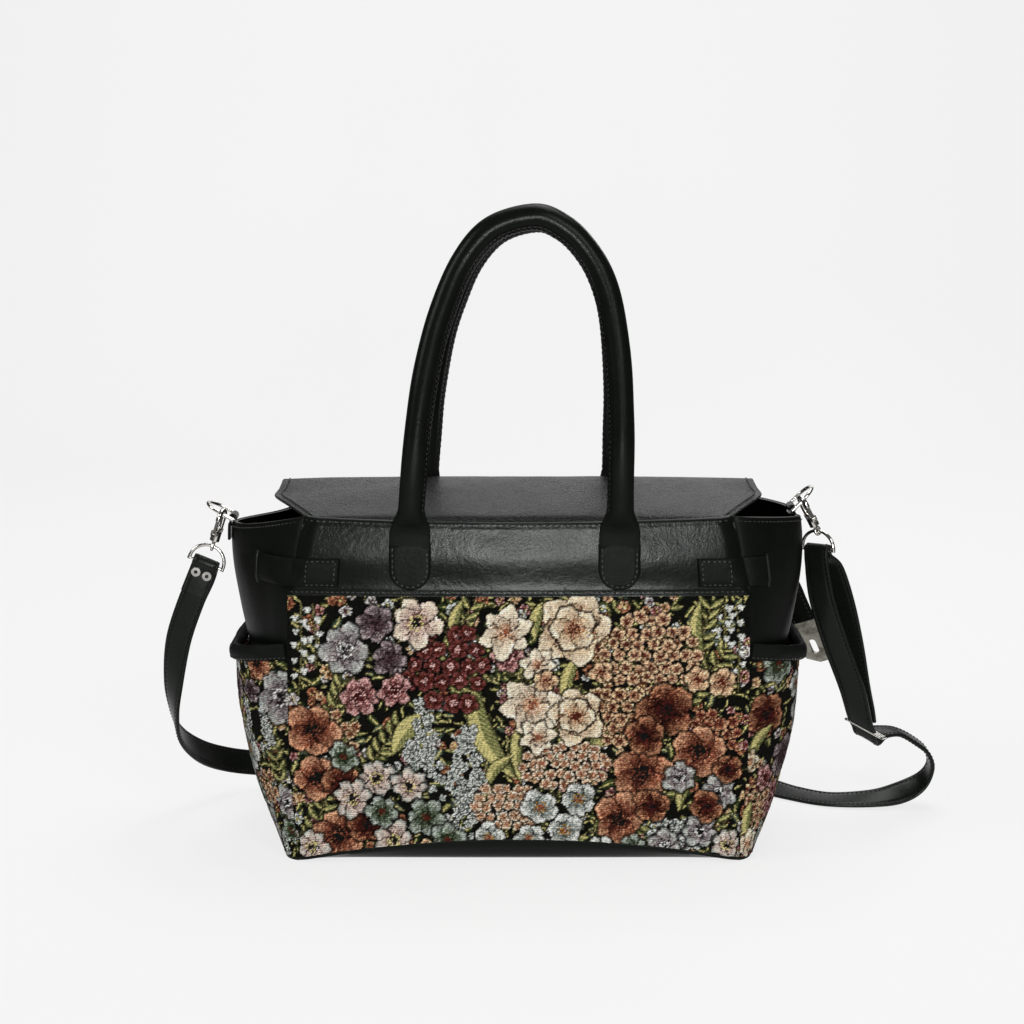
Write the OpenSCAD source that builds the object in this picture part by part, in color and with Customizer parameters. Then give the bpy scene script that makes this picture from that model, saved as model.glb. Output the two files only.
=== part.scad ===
// Tapestry tote bag with leather yokes and gussets, two side pockets, rolled handles,
// a tucked-in flap and a clip-on shoulder strap. Millimetres, +Z up.
// The origin is the middle of the base on the floor, and the front faces -Y.

/* [Body] */
// Width of the front and back panels between the corner seams
panel_w = 336; // [300:1:370]
// Width of the mouth between the front corners
mouth_w = 316; // [290:1:336]
// Depth of the base
base_d = 156; // [130:1:190]
// Depth of the mouth between the front and back rims
mouth_d = 144; // [124:1:170]
// Height of the rim at the middle of the front
body_h = 255; // [240:1:285]
// Height of the leather yokes
yoke_h = 53; // [40:1:66]
// Rise of the rim from its middle to the corners
corner_lift = 4; // [0:0.5:8]
// How much lower the back rim is than the front rim
back_drop = 6; // [0:0.5:10]
// Rise of the bottom seam at the middle of the front and back
arch_h = 16; // [6:1:22]
// Outward bulge of the front and back walls
wall_bulge = 6; // [2:0.5:12]
// Thickness of the leather walls
leather_t = 2; // [1.4:0.1:2.6]
// Thickness of the base leather
base_t = 2.4; // [1.6:0.1:4]
// How far the yokes stand proud of the tapestry
yoke_lap = 1; // [0.6:0.1:1.6]

/* [Gussets] */
// Free length of the mouth past each end of the flap
mouth_end = 31; // [20:1:40]
// How far the gussets stand out at the base
gusset_foot = 3; // [1:0.5:6]
// How far the rim drops at the left fold
left_drop = 14; // [4:0.5:18]
// How far the rim drops at the right folds
right_drop = 7; // [2:0.5:14]
// Depth of the inward fold in the middle of the right gusset
right_fold = 9; // [5:0.5:16]

/* [Pockets] */
// Drop from the rim to the pocket rims at the corner seams
pocket_drop = 95; // [80:1:125]
// How far the pocket rims dip at their middle
pocket_dip = 13; // [6:1:20]
// How far the pocket rims stand out past the corner seams
pocket_reach = 42; // [38:1:52]
// How far the pockets stand out at the base
pocket_foot = 8; // [5:0.5:12]
// Thickness of the tapestry
tapestry_t = 2; // [1.4:0.1:2.6]
// Height of the padded pocket bindings
binding_h = 12; // [8:0.5:16]
// Thickness of the padded pocket bindings
binding_t = 8; // [5:0.5:9]

/* [Inside] */
// Height of the leather facing inside the rim
facing_h = 34; // [20:1:50]
// Thickness of the lining cloth
lining_t = 0.8; // [0.5:0.1:1.2]
// Slack between the lining and the walls
lining_slack = 1.2; // [0.8:0.1:2]

/* [Flap] */
// Width of the flap over the back half of the mouth
flap_w = 370; // [350:1:380]
// Width of the flap where it goes in behind the front rim
flap_front_w = 302; // [280:1:304]
// Height of the flap's crown above the rim
flap_crown = 8; // [7:0.5:14]
// Length of flap tucked down behind the front rim
flap_tuck = 32; // [20:1:60]
// Thickness of the flap
flap_t = 2.2; // [1.6:0.1:2.8]

/* [Handles] */
// Diameter of the rolled handles
handle_d = 18; // [14:0.5:20]
// Distance between the legs of a handle
handle_span = 150; // [130:1:170]
// Height of the handle's centre line above the rim
handle_rise = 217; // [170:1:240]
// How far the back handle sits to the right of the front one
handle_back_shift = 4; // [-8:0.5:8]
// How much lower the back handle stands
handle_back_drop = 7; // [0:0.5:14]
// How far the handle tops lean in over the mouth
handle_lean = 30; // [10:1:36]
// Width of the handle tabs
tab_w = 30; // [26:0.5:36]
// Height of the handle tabs
tab_h = 33; // [28:0.5:38]
// Thickness of the handle tabs
tab_t = 3.4; // [2.4:0.1:4.2]
// Drop from the rim to the top of the tabs
tab_drop = 15; // [10:0.5:18]

/* [Keepers and belt] */
// Width of the keepers and of the belt
keeper_w = 20; // [14:0.5:24]
// Thickness of the keepers and of the belt
keeper_t = 2; // [1.4:0.1:2.6]
// Length of a keeper on the front yoke
keeper_front = 38; // [28:1:48]
// Drop from the rim to the top of the keepers
keeper_drop = 26; // [22:0.5:30]
// Length of the metal belt plate
plate_l = 37; // [30:0.5:44]
// Thickness of the metal belt plate
plate_t = 3.6; // [3.2:0.1:4.6]
// Length of the slot in the belt plate
slot_l = 13; // [10:0.5:16]
// Width of the slot in the belt plate
slot_w = 6; // [5:0.5:8]

/* [Rings and hooks] */
// Wire of the rings on the bag
ring_wire = 2.8; // [2.4:0.1:3.2]
// Inside width of the rings
ring_in = 20; // [19:0.5:24]
// Straight leg of the rings on the bag
ring_leg = 10; // [8:0.5:14]
// Upward tilt of the left ring
left_ring_tilt = 29; // [20:1:40]
// Upward tilt of the right ring
right_ring_tilt = 46; // [36:1:54]
// Outward lean of the left hook
left_hook_lean = 18; // [10:1:24]
// Outward lean of the right hook
right_hook_lean = 28; // [20:1:32]
// Wire of the hook loops
hook_wire = 3.6; // [3.2:0.1:4]
// Inside width of the hook loops
hook_in = 9.6; // [9:0.1:11]
// Play between the hook loops and the rings they hold
hook_play = 0.4; // [0.3:0.1:2]
// Height of the hook's spine above its foot
spine_h = 9; // [8:0.5:13]
// Diameter of the gate pins
pin_d = 1.2; // [1:0.1:1.4]
// Diameter of the swivel posts
post_d = 3; // [2.6:0.1:3.2]

/* [Shoulder strap] */
// Width of the strap
strap_w = 20; // [16:0.5:20]
// Thickness of the strap
strap_t = 2.8; // [2:0.1:3]
// Wire of the rings at the ends of the strap
strap_ring_wire = 2.6; // [2.2:0.1:2.8]
// Inside width of the rings at the ends of the strap
strap_ring_in = 24; // [22:0.5:26]
// Straight leg of the rings at the ends of the strap
strap_ring_leg = 1; // [1:0.5:4]
// Slant of the left strap ring
left_strap_tilt = 67; // [60:1:74]
// Slant of the right strap ring
right_strap_tilt = 94; // [86:1:100]
// Turn of the right strap ring towards the front
right_strap_turn = 40; // [30:1:48]
// Diameter of the rivet flanges
rivet_d = 7; // [6:0.2:8]

/* [Hidden] */
$fn = 48;

// Clearances
seat_gap = 0.3;
seam_gap = 0.2;
fit_gap = 0.05;
cut_over = 1;

// Heights and widths that follow from the sizes above
tapestry_h = body_h - yoke_h;
pocket_h = body_h - pocket_drop;
gusset_reach = (flap_w - mouth_w) / 2 + mouth_end;

// Colours
leather = [0.07, 0.07, 0.065];
tapestry = [0.42, 0.33, 0.28];
cloth = [0.05, 0.05, 0.055];
nickel = [0.75, 0.74, 0.72];

// Number of faces across each piece
wall_cols = 14;
tapestry_rows = 6;
yoke_rows = 3;
gusset_cols = 12;
pocket_rows = 6;

// Shape of the walls
taper_power = 8;
left_crown_power = 1.6;
left_back_power = 6;
right_crown_power = 2.4;
pocket_crown_power = 3.5;
pocket_belly_power = 2.2;
fold_half_share = 0.3;
belly_start = 15;
belly_sweep = 150;

// Plain helpers
function lerp(a, b, t) = a + (b - a) * t;
function span(n, a, b) = [for (i = [0:n]) lerp(a, b, i / n)];
function ease(t) = t * t * (3 - 2 * t);
function unit(p) = p / norm(p);
function clamp(t, lo, hi) = min(hi, max(lo, t));

// Smooth curve through a list of points, u from 0 to the last index
function through(p, u) =
  let (
    last = len(p) - 1,
    i = min(last - 1, floor(u)),
    t = u - i,
    a = p[max(0, i - 1)],
    b = p[i],
    c = p[i + 1],
    d = p[min(last, i + 2)]
  )
  ((2 * b) + (c - a) * t + (2 * a - 5 * b + 4 * c - d) * t * t + (3 * b - a - 3 * c + d) * t * t * t) / 2;

// Walls of the body, v from 0 at the bottom seam to 1 at the rim
low_z = base_t + seam_gap;
rim_z = body_h + corner_lift;
function corner_x(v) = lerp(panel_w, mouth_w, pow(clamp(v, 0, 1), taper_power)) / 2;
function corner_y(v) = lerp(base_d, mouth_d, v) / 2;
function bulge(v, s) = wall_bulge * sin(belly_start + belly_sweep * clamp(v, 0, 1)) * (1 - s * s);
function wall_low(s) = low_z + arch_h * (1 - s * s);
function wall_top(s) = body_h + corner_lift * s * s;
function front_wall(s, v, inset) = [
  s * (corner_x(v) - inset),
  inset - corner_y(v) - bulge(v, s),
  lerp(wall_low(s), wall_top(s), v)
];
function back_wall(s, v, inset) =
  let (p = front_wall(s, v, inset))
  [p.x, -p.y, p.z - v * back_drop];

function wall_y(x, z) =
  let (v = (z - low_z) / (body_h - low_z))
  front_wall(x / corner_x(v), v, 0).y;

// Gussets, t from -1 at the front corner to 1 at the back corner
function reach(v) = lerp(gusset_foot, gusset_reach, v);
function fold(v, t) = right_fold * pow(clamp(v, 0, 1), taper_power) * exp(-pow(t / fold_half_share, 2));
function crown(side, v, t) = side < 0
  ? reach(v) * (1 - pow(abs(t), left_crown_power))
  : reach(v) * (1 - pow(abs(t), right_crown_power)) - fold(v, t) * (1 - t * t);
function rim_dip(side, t) = side < 0
  ? left_drop * (1 - pow(abs(t), t > 0 ? left_back_power : 2))
  : right_drop * (1 - t * t);
function end_top(side, t) = rim_z - rim_dip(side, t) - back_drop * (1 + t) / 2;
function gusset(side, t, v, inset) = [
  side * (corner_x(v) - inset + crown(side, v, t)),
  t * (corner_y(v) - inset),
  lerp(low_z, end_top(side, t), v)
];

// Round the whole body, anticlockwise from above: wall number and place along that wall
function round_wall(q, v, inset) =
  q[0] == 0 ? front_wall(q[1], v, inset)
  : q[0] == 1 ? gusset(1, q[1], v, inset)
  : q[0] == 2 ? back_wall(q[1], v, inset)
  : gusset(-1, q[1], v, inset);
function round_low(q) = q[0] == 0 || q[0] == 2 ? wall_low(q[1]) : low_z;
function round_top(q) =
  q[0] == 0 ? wall_top(q[1])
  : q[0] == 2 ? wall_top(q[1]) - back_drop
  : end_top(q[0] == 1 ? 1 : -1, q[1]);
function level(q, z) = (z - round_low(q)) / (round_top(q) - round_low(q));
function side_of(k, n, a, b) = [for (u = span(n, a, b)) [k, u]];
front_line = side_of(0, wall_cols, -1, 1);
right_line = side_of(1, gusset_cols, -1, 1);
back_line = side_of(2, wall_cols, 1, -1);
left_line = side_of(3, gusset_cols, 1, -1);
function but_last(p) = [for (i = [0:len(p) - 2]) p[i]];
whole_line = concat(but_last(front_line), but_last(right_line), but_last(back_line), but_last(left_line));

// Height shares of the rows of faces, common to all walls so that their edges meet
function seam_level(q) = level([0, q[1]], tapestry_h);
seam_share = seam_level([0, 1]);
wall_rows = concat(
  span(tapestry_rows, 0, seam_share),
  [for (i = [1:yoke_rows]) lerp(seam_share, 1, i / yoke_rows)]
);

// Solids made of rows of points
function quad(a, b, c, d) = [[a, b, c], [a, c, d]];

// Sheet between two skins of f(u, v, inset); seen from the near skin, u runs right and v up
module sheet(f, us, vs, near, far) {
  n = len(us);
  m = len(vs);
  points = [for (k = [near, far]) for (u = us) for (v = vs) f(u, v, k)];
  function at(k, i, j) = (k * n + i) * m + j;
  skins = [
    for (i = [0:n - 2]) for (j = [0:m - 2]) each concat(
      quad(at(0, i, j), at(0, i, j + 1), at(0, i + 1, j + 1), at(0, i + 1, j)),
      quad(at(1, i, j), at(1, i + 1, j), at(1, i + 1, j + 1), at(1, i, j + 1))
    )
  ];
  long_edges = [
    for (i = [0:n - 2]) each concat(
      quad(at(0, i, 0), at(0, i + 1, 0), at(1, i + 1, 0), at(1, i, 0)),
      quad(at(0, i, m - 1), at(1, i, m - 1), at(1, i + 1, m - 1), at(0, i + 1, m - 1))
    )
  ];
  short_edges = [
    for (j = [0:m - 2]) each concat(
      quad(at(0, 0, j), at(1, 0, j), at(1, 0, j + 1), at(0, 0, j + 1)),
      quad(at(0, n - 1, j), at(0, n - 1, j + 1), at(1, n - 1, j + 1), at(1, n - 1, j))
    )
  ];
  polyhedron(points, concat(skins, long_edges, short_edges));
}

// Closed band round the body between two skins of f(q, w, inset)
module band(f, vs, near, far) {
  n = len(whole_line);
  m = len(vs);
  points = [for (k = [near, far]) for (v = vs) for (q = whole_line) f(q, v, k)];
  function at(k, j, i) = (k * m + j) * n + i % n;
  skins = [
    for (j = [0:m - 2]) for (i = [0:n - 1]) each concat(
      quad(at(0, j, i), at(0, j + 1, i), at(0, j + 1, i + 1), at(0, j, i + 1)),
      quad(at(1, j, i), at(1, j, i + 1), at(1, j + 1, i + 1), at(1, j + 1, i))
    )
  ];
  top = [
    for (i = [0:n - 1]) each quad(at(0, m - 1, i), at(1, m - 1, i), at(1, m - 1, i + 1), at(0, m - 1, i + 1))
  ];
  bottom = [for (i = [0:n - 1]) each quad(at(0, 0, i), at(0, 0, i + 1), at(1, 0, i + 1), at(1, 0, i))];
  polyhedron(points, concat(skins, top, bottom));
}

// Rod along a path, with a width direction and half sizes at each point
round_shares = [for (a = [0:30:330]) [cos(a), sin(a)]];
strap_shares = [[1, -0.6], [1, 0.6], [0.93, 1], [-0.93, 1], [-1, 0.6], [-1, -0.6], [-0.93, -1], [0.93, -1]];
function heading(path, i) = unit(path[min(len(path) - 1, i + 1)] - path[max(0, i - 1)]);
module sweep(path, across, wides, deeps, section) {
  n = len(path);
  m = len(section);
  points = [
    for (i = [0:n - 1])
      let (
        along = heading(path, i),
        deep = unit(cross(along, across[i])),
        wide = cross(deep, along)
      )
      for (c = section) path[i] + wide * wides[i] * c[0] + deep * deeps[i] * c[1]
  ];
  function at(i, j) = i * m + j % m;
  skin = [
    for (i = [0:n - 2]) for (j = [0:m - 1]) each quad(at(i, j), at(i + 1, j), at(i + 1, j + 1), at(i, j + 1))
  ];
  ends = [[for (j = [0:m - 1]) at(0, j)], [for (j = [m - 1:-1:0]) at(n - 1, j)]];
  polyhedron(points, concat(skin, ends));
}
function same(value, path) = [for (p = path) value];

// Base
lip_share = 0.86;
base_out = pocket_foot + seat_gap + tapestry_t;
base_rows = [-1, -0.93, -lip_share, -0.5, 0, 0.5, lip_share, 0.93, 1];
function lip(t) = pow(max(0, (abs(t) - lip_share) / (1 - lip_share)), 1.4);
function base_point(s, t, up) = [
  s * (corner_x(0) + base_out * pocket_crown(t)),
  t * (corner_y(0) + bulge(0, s)),
  up + arch_h * (1 - s * s) * lip(t)
];
module base_panel()
  color(leather)
    sheet(function(s, t, up) base_point(s, t, up), span(wall_cols, -1, 1), base_rows, base_t, 0);

// Front and back walls
module tapestry_panel(line)
  color(tapestry)
    sheet(
      function(q, w, inset) round_wall(q, w * seam_level(q), inset),
      line, span(tapestry_rows, 0, 1), 0, tapestry_t
    );
module yoke(line)
  color(leather)
    sheet(
      function(q, w, inset) round_wall(q, lerp(seam_level(q), 1, w), inset),
      line, span(yoke_rows, 0, 1), -yoke_lap, leather_t
    );
module front_tapestry() { tapestry_panel(front_line); }
module back_tapestry() { tapestry_panel(back_line); }
module front_yoke() { yoke(front_line); }
module back_yoke() { yoke(back_line); }

// Gussets
module gusset_panel(line)
  color(leather)
    sheet(function(q, v, inset) round_wall(q, v, inset), line, wall_rows, 0, leather_t);
module left_gusset() { gusset_panel(left_line); }
module right_gusset() { gusset_panel(right_line); }

// Side pockets
function pocket_out(w) = lerp(pocket_foot, pocket_reach, 1 - pow(1 - w, pocket_belly_power));
function pocket_crown(t) = 1 - pow(abs(t), pocket_crown_power);
function pocket_rim(t) = pocket_h - pocket_dip * (1 - t * t);
function pocket_y(t, z) = t * corner_y((z - low_z) / (rim_z - low_z));
function pocket_point(side, t, w, out) =
  let (z = lerp(low_z, pocket_rim(t) - binding_h / 2 - seam_gap, w))
  [side * (panel_w / 2 + seat_gap + pocket_out(w) * pocket_crown(t) + out), pocket_y(t, z), z];
binding_end_share = 0.35;
binding_taper_share = 0.15;
function binding_deep(t) =
  binding_t / 2 * lerp(binding_end_share, 1, ease(min(1, (1 - abs(t)) / binding_taper_share)));
function binding_point(side, t) = [
  side * (panel_w / 2 + seat_gap + binding_deep(t) + pocket_reach * pocket_crown(t)),
  pocket_y(t, pocket_rim(t)),
  pocket_rim(t)
];
module pocket(side)
  color(tapestry)
    sheet(
      function(t, w, out) pocket_point(side, t, w, out),
      span(gusset_cols, -side, side), span(pocket_rows, 0, 1), tapestry_t, 0
    );
module pocket_binding(side) {
  ts = span(2 * gusset_cols, -1, 1);
  path = [for (t = ts) binding_point(side, t)];
  color(leather)
    sweep(
      path, same([0, 0, 1], path), same(binding_h / 2, path),
      [for (t = ts) binding_deep(t)], round_shares
    );
}
module left_pocket() { pocket(-1); }
module right_pocket() { pocket(1); }
module left_pocket_binding() { pocket_binding(-1); }
module right_pocket_binding() { pocket_binding(1); }

// Facing and lining inside the mouth
facing_near = leather_t + seam_gap;
facing_far = facing_near + leather_t;
lining_near = leather_t + lining_slack;
floor_z = base_t + arch_h + seat_gap;
lining_rows = [0, 0.25, 0.5, 0.7, 0.85, 1];
function facing_low(q) = level(q, round_top(q) - facing_h);
module rim_facing()
  color(leather)
    band(
      function(q, w, inset) round_wall(q, lerp(facing_low(q), 1, w), inset),
      [0, 0.5, 1], facing_near, facing_far
    );
module lining()
  color(cloth)
    band(
      function(q, w, inset)
        round_wall(q, lerp(level(q, floor_z), facing_low(q) - seam_gap / body_h, w), inset),
      lining_rows, lining_near, lining_near + lining_t
    );
module lining_floor() {
  edge = [for (q = whole_line) round_wall(q, level(q, floor_z), lining_near + lining_t + fit_gap)];
  color(cloth)
    translate([0, 0, floor_z]) linear_extrude(lining_t) polygon([for (p = edge) [p.x, p.y]]);
}

// Flap from the back wall over the mouth and down behind the front rim
flap_inner_y = mouth_d / 2 - facing_far - seat_gap - flap_t / 2;
flap_out = yoke_lap + seat_gap + flap_t / 2;
flap_outer_y = mouth_d / 2 + flap_out;
flap_sewn = body_h - tapestry_h - yoke_lap;
// Each row: place between the front and the back, height above the rim, half width,
// and the share in which it follows the back wall
flap_line = [
  [flap_outer_y, -flap_sewn, mouth_w / 2, 1],
  [flap_outer_y, -flap_sewn * 0.6, mouth_w / 2, 1],
  [flap_outer_y, -flap_sewn * 0.25, lerp(mouth_w, flap_w, 0.45) / 2, 1],
  [flap_outer_y, flap_crown * 0.25, flap_w / 2, 0.7],
  [flap_outer_y - flap_crown * 0.3, flap_crown * 0.85, flap_w / 2, 0],
  [flap_outer_y - flap_crown * 1.3, flap_crown, flap_w / 2, 0],
  [mouth_d * 0.3, flap_crown * 0.97, flap_w / 2, 0],
  [mouth_d * 0.12, flap_crown * 0.85, flap_w / 2, 0],
  [-mouth_d * 0.14, flap_crown * 0.6, lerp(flap_w, flap_front_w, 0.44) / 2, 0],
  [-mouth_d * 0.36, flap_crown * 0.3, lerp(flap_w, flap_front_w, 0.84) / 2, 0],
  [-lerp(mouth_d * 0.36, flap_inner_y, 0.62), 0, lerp(flap_w, flap_front_w, 0.94) / 2, 0],
  [-flap_inner_y, -flap_crown * 0.8, flap_front_w / 2, 0],
  [-flap_inner_y, -flap_tuck, flap_front_w / 2, 0]
];
function flap_point(s, i, off) =
  let (
    row = flap_line[i],
    along = unit(flap_line[min(len(flap_line) - 1, i + 1)] - flap_line[max(0, i - 1)]),
    flat = unit([0, along[0], along[1]]),
    hug = wall_y(s * row[2], body_h + min(0, row[1]))
  )
  [s * row[2], lerp(row[0], flap_out - hug, row[3]) - flat.z * off, body_h + row[1] + flat.y * off];
module flap()
  color(leather)
    sheet(
      function(s, i, off) flap_point(s, i, off),
      span(8, -1, 1), [for (i = [len(flap_line) - 1:-1:0]) i], -flap_t / 2, flap_t / 2
    );

// Handles: shares of half the span and of the rise, along one handle from its left end
handle_shares = [
  [-1.04, -0.055], [-1.03, 0.02], [-1, 0.16], [-0.95, 0.34], [-0.86, 0.53], [-0.73, 0.69],
  [-0.53, 0.85], [-0.25, 0.96], [0.15, 1], [0.42, 0.965], [0.62, 0.9], [0.78, 0.81],
  [0.885, 0.69], [0.95, 0.52], [0.975, 0.34], [0.974, 0.16], [0.97, 0.02], [0.966, -0.055]
];
handle_steps = 36;
flare_steps = 6;
// Share of the handle's length with the flare at each end, and shares of the rise where the flare
// starts and over which it goes
flare_end_share = 0.09;
flare_low_share = -0.045;
flare_share = 0.1;
handle_end_wide = tab_w / 2 - seat_gap;
handle_end_deep = tab_t / 2;
tab_top = body_h - tab_drop;
function proud(face) = yoke_lap + seat_gap + (face > 0 ? 0 : flap_t + seat_gap);
function handle_z(share, rise) = max(body_h + share * rise, tab_top + seat_gap);
function handle_point(face, u, rise, shift) =
  let (
    p = through(handle_shares, u * (len(handle_shares) - 1)),
    x = p[0] * handle_span / 2 + shift,
    z = handle_z(p[1], rise),
    up = clamp(p[1], 0, 1),
    near = wall_y(x, min(z, body_h)) - proud(face) - handle_deep(p[1])
  )
  [x, face * (near + handle_lean * ease(up)), z];
function handle_round(share) =
  let (k = clamp((share - flare_low_share) / flare_share, 0, 1))
  1 - sqrt(1 - k * k);
function handle_wide(share) = lerp(handle_end_wide, handle_d / 2, handle_round(share));
function handle_deep(share) = lerp(handle_end_deep, handle_d / 2, handle_round(share));
module handle(face, rise, shift) {
  us = concat(
    but_last(span(flare_steps, 0, flare_end_share)),
    but_last(span(handle_steps, flare_end_share, 1 - flare_end_share)),
    span(flare_steps, 1 - flare_end_share, 1)
  );
  shares = [for (u = us) through(handle_shares, u * (len(handle_shares) - 1))[1]];
  path = [for (u = us) handle_point(face, u, rise, shift)];
  across = [for (i = [0:len(path) - 1]) unit(cross([0, 1, 0], heading(path, i)))];
  color(leather)
    sweep(path, across, [for (h = shares) handle_wide(h)], [for (h = shares) handle_deep(h)], round_shares);
}
module front_handle() { handle(1, handle_rise, 0); }
module back_handle() { handle(-1, handle_rise - handle_back_drop, handle_back_shift); }

// Round-ended tabs that follow the yoke under the handle ends
tab_rows = [0, 0.04, 0.15, 0.3, 0.5, 1];
function tab_half(w) =
  let (drop = max(0, 1 - w * tab_h / (tab_w / 2)))
  tab_w / 2 * sqrt(max(0.04, 1 - drop * drop));
module handle_tab(line_no, end) {
  turn = line_no == 0 ? 1 : -1;
  end_share = handle_shares[end < 0 ? 0 : len(handle_shares) - 1][0];
  x = end_share * handle_span / 2 + (turn > 0 ? 0 : handle_back_shift);
  color(leather)
    sheet(
      function(s, w, inset)
        let (
          z = tab_top - tab_h * (1 - w),
          v = (z - low_z) / (body_h - low_z),
          p = front_wall((x + turn * s * tab_half(w)) / corner_x(v), v, inset)
        )
        [p.x, turn * p.y, z],
      span(6, -1, 1), tab_rows, -proud(turn) - tab_t, -proud(turn)
    );
}
module front_left_handle_tab() { handle_tab(0, -1); }
module front_right_handle_tab() { handle_tab(0, 1); }
module back_left_handle_tab() { handle_tab(2, -1); }
module back_right_handle_tab() { handle_tab(2, 1); }

// Keepers: strips round the front corners, sewn to the yoke and let into the gussets
keeper_top = body_h - keeper_drop;
keeper_share = 1 - keeper_front / (panel_w / 2);
left_keeper_share = -0.68;
right_keeper_share = -0.88;
keeper_proud = yoke_lap + seam_gap;
module keeper(side) {
  on_yoke = [for (s = span(3, keeper_share, 1)) [0, side * s]];
  last_share = side < 0 ? left_keeper_share : right_keeper_share;
  on_gusset = [for (t = span(3, -1, last_share)) [side > 0 ? 1 : 3, t]];
  outward = concat(but_last(on_yoke), on_gusset);
  line = side > 0 ? outward : [for (i = [len(outward) - 1:-1:0]) outward[i]];
  color(leather)
    sheet(
      function(q, w, inset) round_wall(q, level(q, keeper_top - keeper_w * (1 - w)), inset),
      line, [0, 0.5, 1], -keeper_proud - keeper_t, -keeper_proud
    );
}
module left_keeper() { keeper(-1); }
module right_keeper() { keeper(1); }

// Belt: sewn to the right end of the back yoke and hanging from there
belt_z = keeper_top - keeper_w / 2;
// Each point: shares of half the panel width, of the depth behind the wall and of the body height,
// then the width direction
belt_shares = [
  [0.74, 0, 0, 0, 0, 1], [0.88, -0.006, 0, 0, 0, 1], [1, -0.005, -0.003, 0.05, 0, 1],
  [1.09, 0.02, -0.026, 0.2, 0, 1],
  [1.19, 0.06, -0.09, 0.5, -0.2, 0.75], [1.29, 0.1, -0.18, 0.8, -0.35, 0.45],
  [1.335, 0.12, -0.24, 0.85, -0.4, 0.35], [1.38, 0.13, -0.305, 0.85, -0.4, 0.35]
];
belt_y = -wall_y(panel_w / 2 * belt_shares[0][0], belt_z) + proud(-1) + keeper_t / 2;
function belt_point(p) = [p[0] * panel_w / 2, belt_y + p[1] * base_d / 2, belt_z + p[2] * body_h];
belt_path = [for (u = span(18, 0, len(belt_shares) - 1)) belt_point(through(belt_shares, u))];
belt_across = [
  for (u = span(18, 0, len(belt_shares) - 1))
    let (p = through(belt_shares, u)) unit([p[3], p[4], p[5]])
];
belt_last = len(belt_path) - 1;
belt_along = heading(belt_path, belt_last);
belt_face = unit(cross(belt_along, belt_across[belt_last]));
belt_side = cross(belt_face, belt_along);
// Places a shape at the end of the belt: local x across, y along, z out of its face
module at_belt_end()
  multmatrix([
    [belt_side.x, belt_along.x, belt_face.x, belt_path[belt_last].x],
    [belt_side.y, belt_along.y, belt_face.y, belt_path[belt_last].y],
    [belt_side.z, belt_along.z, belt_face.z, belt_path[belt_last].z],
    [0, 0, 0, 1]
  ]) children();
module belt_strap()
  color(leather)
    sweep(belt_path, belt_across, same(keeper_w / 2, belt_path), same(keeper_t / 2, belt_path), strap_shares);

// Plate: a flat blade with an oblong slot and a slanted end, butted to the end of the belt
plate_rivet_d = 3;
plate_slant = plate_l * 0.16;
slot_place = plate_l * 0.62;
module slot_shape() {
  square([slot_w, slot_l - slot_w], center = true);
  for (e = [-1, 1]) translate([0, e * (slot_l - slot_w) / 2]) circle(d = slot_w);
}
module belt_plate()
  color(nickel)
    at_belt_end()
      difference() {
        translate([0, seam_gap, -plate_t / 2])
          linear_extrude(plate_t)
            polygon([
              [-keeper_w / 2, 0], [keeper_w / 2, 0], [keeper_w / 2, plate_l],
              [0, plate_l], [-keeper_w / 2, plate_l - plate_slant]
            ]);
        translate([0, slot_place, -plate_t / 2 - cut_over])
          linear_extrude(plate_t + 2 * cut_over) slot_shape();
      }
module belt_rivets()
  color(nickel)
    at_belt_end()
      for (e = [-1, 1])
        translate([e * keeper_w * 0.32, plate_l * 0.16, plate_t / 2 + fit_gap])
          cylinder(d = plate_rivet_d, h = leather_t / 4);

// Wire ring with a straight bar: bar along local Y, legs and round end towards +X
bar_share = 0.9;
module wire_ring(half, leg, wire) {
  rotate([90, 0, 0]) cylinder(d = wire * bar_share, h = 2 * half, center = true);
  for (e = [-1, 1])
    translate([-wire / 2, e * half, 0]) rotate([0, 90, 0]) cylinder(d = wire, h = leg + wire / 2);
  translate([leg, 0, 0])
    rotate([0, 0, -90]) rotate_extrude(angle = 180) translate([half, 0]) circle(d = wire);
}

// Rings on the bag: the bar lies over the middle of each gusset rim, in a leather loop
ring_half = (ring_in + ring_wire) / 2;
ring_bar = ring_wire * bar_share;
loop_r = ring_bar / 2 + fit_gap + leather_t;
loop_w = ring_in * 0.72;
loop_drop_share = 0.06;
tongue_share = 0.9;
function rim_tip(side) = gusset(side, 0, 1, 0);
function ring_place(side) =
  rim_tip(side) + [side * (seat_gap + leather_t * tongue_share - loop_r), 0, seat_gap + loop_r];
function ring_tilt(side) = side < 0 ? left_ring_tilt : right_ring_tilt;
module ring_tab(side) {
  place = ring_place(side);
  half_share = loop_w / mouth_d;
  loop_level = (place.z - low_z) / (rim_tip(side).z - low_z);
  color(leather)
    difference() {
      union() {
        sheet(
          function(t, v, inset) gusset(side, t, v, inset),
          span(2, -side * half_share, side * half_share), span(2, 1 - loop_drop_share, loop_level),
          -seat_gap - leather_t * tongue_share, -seat_gap
        );
        translate(place) rotate([90, 0, 0]) cylinder(r = loop_r, h = loop_w, center = true);
      }
      translate(place)
        rotate([90, 0, 0]) cylinder(d = ring_bar + 2 * fit_gap, h = loop_w + 2 * cut_over, center = true);
    }
}
module bag_ring(side)
  color(nickel)
    translate(ring_place(side))
      rotate([0, 0, side < 0 ? 180 : 0]) rotate([0, -ring_tilt(side), 0])
        wire_ring(ring_half, ring_leg, ring_wire);
module left_ring_tab() { ring_tab(-1); }
module right_ring_tab() { ring_tab(1); }
module left_d_ring() { bag_ring(-1); }
module right_d_ring() { bag_ring(1); }

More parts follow.
